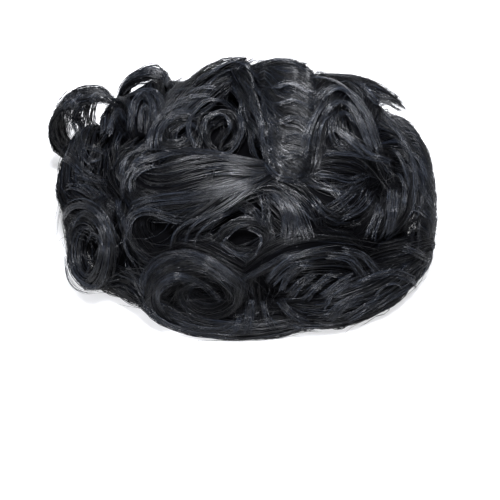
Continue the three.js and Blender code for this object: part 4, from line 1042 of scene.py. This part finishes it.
# The way that hair runs at the given places, and how high the hair is there
def readField(here, heading):
    gap = here[:, None] - field["points"][None]
    ahead = np.einsum("ijk,jk->ij", gap, field["tangent"])
    aside = np.einsum("ijk,jk->ij", gap, field["side"])
    above = np.einsum("ijk,jk->ij", gap, field["up"])
    beyond = np.maximum(0, np.abs(aside) - guide["onLock"] * field["halfWide"])
    apart = np.sqrt(ahead**2 + beyond**2 + np.maximum(0, np.abs(above) - guide["closeAbove"]) ** 2)
    edge = np.minimum(1, np.abs(aside / field["halfWide"]))
    top = field["out"] + field["halfThick"] * np.sqrt(np.maximum(0, 1 - edge**2))
    weight = np.exp(-((apart / guide["reach"]) ** 2) + 0.3 * (top - top.mean()))
    weight = weight + 1e-5 * np.exp(-apart / guide["farReach"])
    sense = np.sign(heading @ field["way"].T)
    way = np.einsum("ij,jk->ik", weight * sense, field["way"])
    inside = (np.abs(ahead) < guide["nearRow"]) & (np.abs(above) < guide["tallest"])
    inside = inside & (np.abs(aside) < field["halfWide"])
    local = np.where(inside, top, 0).max(axis=1)
    even = np.exp(-((apart / guide["blend"]) ** 2)) + 1e-6
    average = np.sum(even * top, 1) / np.sum(even, 1)
    return unit(way), np.maximum(local, average - guide["below"])


# Places scattered all over the dome, the given mm outside the base
def scattered(count, out, rng):
    rays = rng.normal(size=(count, 3)) * [1.2, 1, 0.8]
    rays[:, 2] = np.abs(rays[:, 2])
    return dropOnDome(unit(rays) * domeSize(0), np.full(count, out))


# Paths with their bends evened out
def evened(points):
    for _ in range(2):
        ends = points[..., :-2, :], points[..., 2:, :]
        points[..., 1:-1, :] = 0.25 * ends[0] + 0.5 * points[..., 1:-1, :] + 0.25 * ends[1]
    return points


def normalsAt(points):
    return domeNormal(points.reshape(-1, 3)).reshape(points.shape)


# Guide hairs traced both ways from places all over the dome
def traceGuides(count, rng):
    start = scattered(count, dome["lockStart"], rng)
    way, height = readField(start, rng.normal(size=(count, 3)))
    step = guide["step"] * rng.uniform(0.7, 1.25, count)[:, None]
    halves = []
    for sense in (-1, 1):
        here, heading = start.copy(), sense * way
        half = []
        for _ in range(guide["steps"] // 2):
            here = here + heading * step
            ahead, level = readField(here, heading)
            here = dropOnDome(here, level)
            heading = unit(guide["keeps"] * heading + (1 - guide["keeps"]) * ahead)
            half.append(here)
        halves.append(half)
    middle = dropOnDome(start, height)
    return evened(np.stack(halves[0][::-1] + [middle] + halves[1], 1))


# Strands that follow the guides side by side
def followGuides(points, rng):
    guides, steps, _ = points.shape
    count = guides * guide["followers"]
    clump = np.repeat(np.arange(guides), guide["followers"])
    tangent = unit(np.gradient(points, axis=1))
    up = normalsAt(points)
    side = unit(np.cross(tangent, up))
    grid = np.arange(steps)
    start = rng.uniform(0, guide["shortBy"], count)
    end = 1 - rng.uniform(0, guide["shortBy"], count)
    share = np.linspace(0, 1, strand["rings"])[None, :]
    t = start[:, None] + (end - start)[:, None] * share
    low = np.minimum((t * (steps - 1)).astype(int), steps - 2)
    part = (t * (steps - 1) - low)[..., None]
    rows = clump[:, None]
    base = points[rows, low] * (1 - part) + points[rows, low + 1] * part
    sides = side[rows, low] * (1 - part) + side[rows, low + 1] * part
    ups = up[rows, low] * (1 - part) + up[rows, low + 1] * part
    opened = 0.45 + 0.75 * swell(rng, clump, t, (0.5, 1.5))
    shift = guide["spread"] * rng.normal(0, 0.7, count)[:, None] * opened + wander(rng, clump, t, 0.35)
    rise = clumped(rng, clump, guide["clumpRise"], guide["ownRise"]) + wander(rng, clump, t, 0.3)
    rise = rise - guide["startDive"] * (1 - share) ** 4 - guide["endDive"] * share**4
    radius = strand["radius"] * rng.uniform(0.7, 1.15, count)[:, None] * (1.02 - share**5 * 0.75)
    tone = clumpTone(rng, clump)
    points = base + sides * shift[..., None] + ups * rise[..., None]
    shaded = shadedStrands(points, np.where(rise.mean(axis=1) < guide["lowRise"], shade["under"], 0), rng)
    points = keptAbove(hollowed(points))
    return {"points": points, "up": ups, "radius": radius, "tone": tone, "shaded": shaded}


rng = np.random.default_rng(11)
guides = traceGuides(guide["count"], rng)
order = np.argsort(guides[:, guides.shape[1] // 2, 0])
for index, share in enumerate(np.array_split(order, regions)):
    parts = [strandTubes(followGuides(guides[share], rng))]
    total += hairPiece(f"flowingHair{index + 1}", parts, [strandHair, shadedHair])[1]
print("guide hairs:", len(guides), "all hair", total, "triangles")


# The strands of one wisp, side by side along its places and on top of the hair there, or a round bundle
def combWisp(count, opening, closing, places, isRound, rng):
    path = smoothRows(places, 28)
    out = liftToOut(path[:, 2])
    spots = onDome(path[:, 0], path[:, 1], out)
    _, height = readField(spots, unit(np.gradient(spots, axis=0)))
    spots = onDome(path[:, 0], path[:, 1], np.clip(height + 0.3, out, out + 2.0))
    spots = evened(spots)
    tangent = unit(np.gradient(spots, axis=0))
    up = domeNormal(spots)
    line = {"points": spots, "up": up, "side": unit(np.cross(tangent, up))}
    share = np.linspace(0, 1, strand["rings"])[None, :]
    start, end = rng.uniform(0, 0.16, (count, 1)), 1 - rng.uniform(0, 0.2, (count, 1))
    t = start + (end - start) * share
    own = rng.uniform(-1, 1, (count, 1))
    crossing = rng.normal(0, 0.35, (count, 1)) * (2 * t - 1)
    spread = opening + (closing - opening) * t
    shift = spread * (own + crossing) + wander(rng, np.arange(count), t, 0.3)
    rise = rng.uniform(0.1, 1.3, (count, 1)) * np.sin(math.pi * np.clip(share * 0.9 + 0.1, 0, 1)) ** 0.7
    rise = rise - 1.2 * (1 - share) ** 5
    if isRound:
        rise = spread * rng.normal(0, 0.6, (count, 1)) + wander(rng, np.arange(count), t, 0.5)
        shift = 0.75 * shift
    radius = strand["radius"] * rng.uniform(0.65, 1.0, (count, 1)) * (1.02 - 0.8 * share**4)
    isLow = path[:, 2].mean() < shade["lowWisp"]
    shaded = rng.random(count) < (shade["most"] if isLow else 0)
    points, up = keptAbove(offLine(line, t, shift, rise)), readLine(line, "up", t)
    return {"points": points, "up": up, "radius": radius, "tone": rng.random(count), "shaded": shaded}


# Single hairs that leave the others and end in the air
def strayHairs(guides, rng):
    paths = guides[rng.integers(0, len(guides), stray["count"])]
    turned = rng.random(len(paths)) < 0.5
    paths[turned] = paths[turned, ::-1]
    share = np.linspace(0, 1, strand["rings"])[None, :]
    at = share[0] * (paths.shape[1] - 1)
    low = np.minimum(at.astype(int), paths.shape[1] - 2)
    part = (at - low)[None, :, None]
    points = paths[:, low] * (1 - part) + paths[:, low + 1] * part
    up = normalsAt(points)
    side = unit(np.cross(unit(np.gradient(points, axis=1)), up))
    rise = 0.4 + rng.uniform(stray["least"], stray["most"], (len(paths), 1)) * share**1.7
    aside = rng.uniform(-1, 1, (len(paths), 1)) * stray["aside"] * share**2
    radius = stray["radius"] * rng.uniform(0.8, 1.2, (len(paths), 1)) * (1.02 - 0.7 * share**3)
    points = keptAbove(points + up * rise[..., None] + side * aside[..., None])
    return {"points": points, "up": up, "radius": radius, "tone": rng.random(len(paths))}


rng = np.random.default_rng(23)
parts = [strandTubes(combWisp(*row, False, rng)) for row in wisps]
parts += [strandTubes(combWisp(*row, True, rng)) for row in bundles]
# The wisps' material is painted lighter as a highlight; low-lying wisps take the darker painted-shade copy
triangles = hairPiece("looseWisps", parts, [wispHighlightHair, shadedHair])[1]
total += triangles
print("wisps:", triangles, "triangles")
total += hairPiece("strayHairs", [strandTubes(strayHairs(guides, rng))], [strandHair])[1]


# Short strands flat on the under-hair
def infillStrands(rng):
    count = infill["count"]
    here = scattered(count, dome["underHairTop"], rng)
    heading, _ = readField(here, rng.normal(size=(count, 3)))
    rise = rng.uniform(0.5, 5, count)
    path = []
    for step in range(infill["steps"]):
        arch = math.sin(math.pi * step / (infill["steps"] - 1))
        here = dropOnDome(here, dome["underHairTop"] - 0.3 + rise * arch)
        path.append(keptAbove(here))
        ahead, _ = readField(here, heading)
        heading = unit(0.5 * heading + 0.5 * ahead + rng.normal(size=(count, 3)) * 0.06)
        here = here + heading * infill["step"]
    points = np.stack(path, 1)
    share = np.linspace(0, 1, infill["steps"])[None]
    radius = strand["radius"] * rng.uniform(0.7, 1.15, count)[:, None] * (1.0 - 0.7 * share**4)
    up = normalsAt(points)
    shaded = shadedStrands(points, np.full(count, shade["under"]), rng)
    return {"points": points, "up": up, "radius": radius, "tone": rng.random(count), "shaded": shaded}


infillTubes = strandTubes(infillStrands(np.random.default_rng(7)))
triangles = hairPiece("underHairStrands", [infillTubes], [strandHair, shadedHair])[1]
total += triangles
print("under-hair:", triangles, "triangles, all hair", total)

# The plain shell under the locks, remeshed in voxels
shell = {"voxel": 0.003, "weld": 0.00002, "lowest": 0.00005}  # m
source = bpy.data.objects["under_hair"]
shellHair = source.copy()
shellHair.data = source.data.copy()
shellHair.name = "underHairShell"
bpy.context.scene.collection.objects.link(shellHair)
bpy.context.view_layer.objects.active = shellHair
shellHair.select_set(True)
bpy.ops.object.mode_set(mode="EDIT")
bpy.ops.mesh.select_all(action="SELECT")
bpy.ops.mesh.remove_doubles(threshold=shell["weld"])
bpy.ops.object.mode_set(mode="OBJECT")
remesh = shellHair.modifiers.new("voxels", "REMESH")
remesh.voxel_size = shell["voxel"]
bpy.ops.object.modifier_apply(modifier="voxels")
for vertex in shellHair.data.vertices:
    vertex.co.z = max(vertex.co.z, shell["lowest"])
# The shell takes the near-black shade-fill material, painted shade where it shows between the locks
shellHair.data.materials.clear()
shellHair.data.materials.append(shadeFillHair)
shellHair.data.polygons.foreach_set("use_smooth", np.ones(len(shellHair.data.polygons), bool))
shellHair.select_set(False)
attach(shellHair, "root")
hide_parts("under_hair")
print("under-hair shell:", len(shellHair.data.polygons), "faces")

# Swiss lace: a net of undyed polyester thread, so light threads over darker holes; its cells are drawn at
# twice their 0.8 mm, because smaller ones don't show
lace = {
    "cell": 0.0016,
    "uneven": 0.3,
    "thread": 0.09,
    "threadColour": "#d6d2cc",
    "holeColour": "#8e8a86",
    "roughness": 0.6,
}
net, tree, sockets = newMaterial("swissLaceNet")
sockets["Roughness"].default_value = lace["roughness"]
netPlace = addNode(tree, "ShaderNodeTexCoord")
netLook = {"feature": "DISTANCE_TO_EDGE", "Scale": 1 / lace["cell"], "Randomness": lace["uneven"]}
cells = addNode(tree, "ShaderNodeTexVoronoi", netLook, {"Vector": netPlace.outputs["Object"]})
threads = addNode(tree, "ShaderNodeValToRGB", links={"Fac": cells.outputs["Distance"]})
setRamp(threads, [(lace["thread"], lace["threadColour"]), (2 * lace["thread"], lace["holeColour"])])
tree.links.new(threads.outputs["Color"], sockets["Base Color"])
base = bpy.data.objects["lace_base"]
base.data.materials.clear()
base.data.materials.append(net)

# Paper floor, soft light and the photograph's camera
view = {
    "elevation": 50,
    "distance": 0.8,
    "lens": 88.8,
    "target": (0.0031, -0.0339, 0.0),  # from the dome's centre
    "nearest": 0.01,
}
paper = {"size": 80, "below": 0.0002, "colour": "#c4c4c4", "roughness": 0.9, "glow": 0.45}
bpy.ops.mesh.primitive_plane_add(size=paper["size"], location=(0, 0, -paper["below"]))
floor = bpy.context.object
floor.name = "paperFloor"
whitePaper, _, sockets = newMaterial("whitePaper")
sockets["Base Color"].default_value = linearColour(paper["colour"])
sockets["Roughness"].default_value = paper["roughness"]
sockets["Emission Color"].default_value = (1, 1, 1, 1)
sockets["Emission Strength"].default_value = paper["glow"]
floor.data.materials.append(whitePaper)

world = bpy.data.worlds.new("studio")
bpy.context.scene.world = world
world.use_nodes = True
sky = world.node_tree.nodes["Background"]
sky.inputs["Color"].default_value = (1, 1, 1, 1)
skyPlace = addNode(world.node_tree, "ShaderNodeTexCoord")
skyLinks = {"Vector": skyPlace.outputs["Generated"]}
skyHeight = addNode(world.node_tree, "ShaderNodeSeparateXYZ", links=skyLinks)
paleWall = {"From Min": 0.1, "From Max": 0.2, "To Min": 1.0, "To Max": 0.04}  # low round the floor
wall = addNode(world.node_tree, "ShaderNodeMapRange", paleWall, {"Value": skyHeight.outputs["Z"]})
world.node_tree.links.new(wall.outputs["Result"], sky.inputs["Strength"])

softboxes = {
    "overheadSoftbox": {"place": (0.05, -0.1, 0.9), "size": 0.28, "power": 19.0},
    "frontSoftbox": {"place": (0.15, -0.8, 0.5), "size": 0.2, "power": 5.5},
    "leftSoftbox": {"place": (-0.7, -0.3, 0.6), "size": 0.2, "power": 3.5},
    "backSoftbox": {"place": (0.25, 0.6, 0.7), "size": 0.2, "power": 8.5},
}
coolWhite = "#f6f8ff"
for name, box in softboxes.items():
    bpy.ops.object.light_add(type="AREA", location=box["place"])
    light = bpy.context.object
    light.name = name
    light.data.size = box["size"]
    light.data.energy = box["power"]
    light.data.color = linearColour(coolWhite)[:3]
    light.rotation_euler = mathutils.Vector(box["place"]).to_track_quat("Z", "Y").to_euler()

tilt = math.radians(view["elevation"])
target = domeCentre * mm + np.array(view["target"])
eye = target + view["distance"] * np.array([0, -math.cos(tilt), math.sin(tilt)])
bpy.ops.object.camera_add(location=tuple(eye), rotation=(math.pi / 2 - tilt, 0, 0))
camera = bpy.context.object
camera.data.lens = view["lens"]
camera.data.clip_start = view["nearest"]
bpy.context.scene.camera = camera
bpy.context.scene.view_settings.view_transform = "Standard"
print("stage, lights and camera placed")
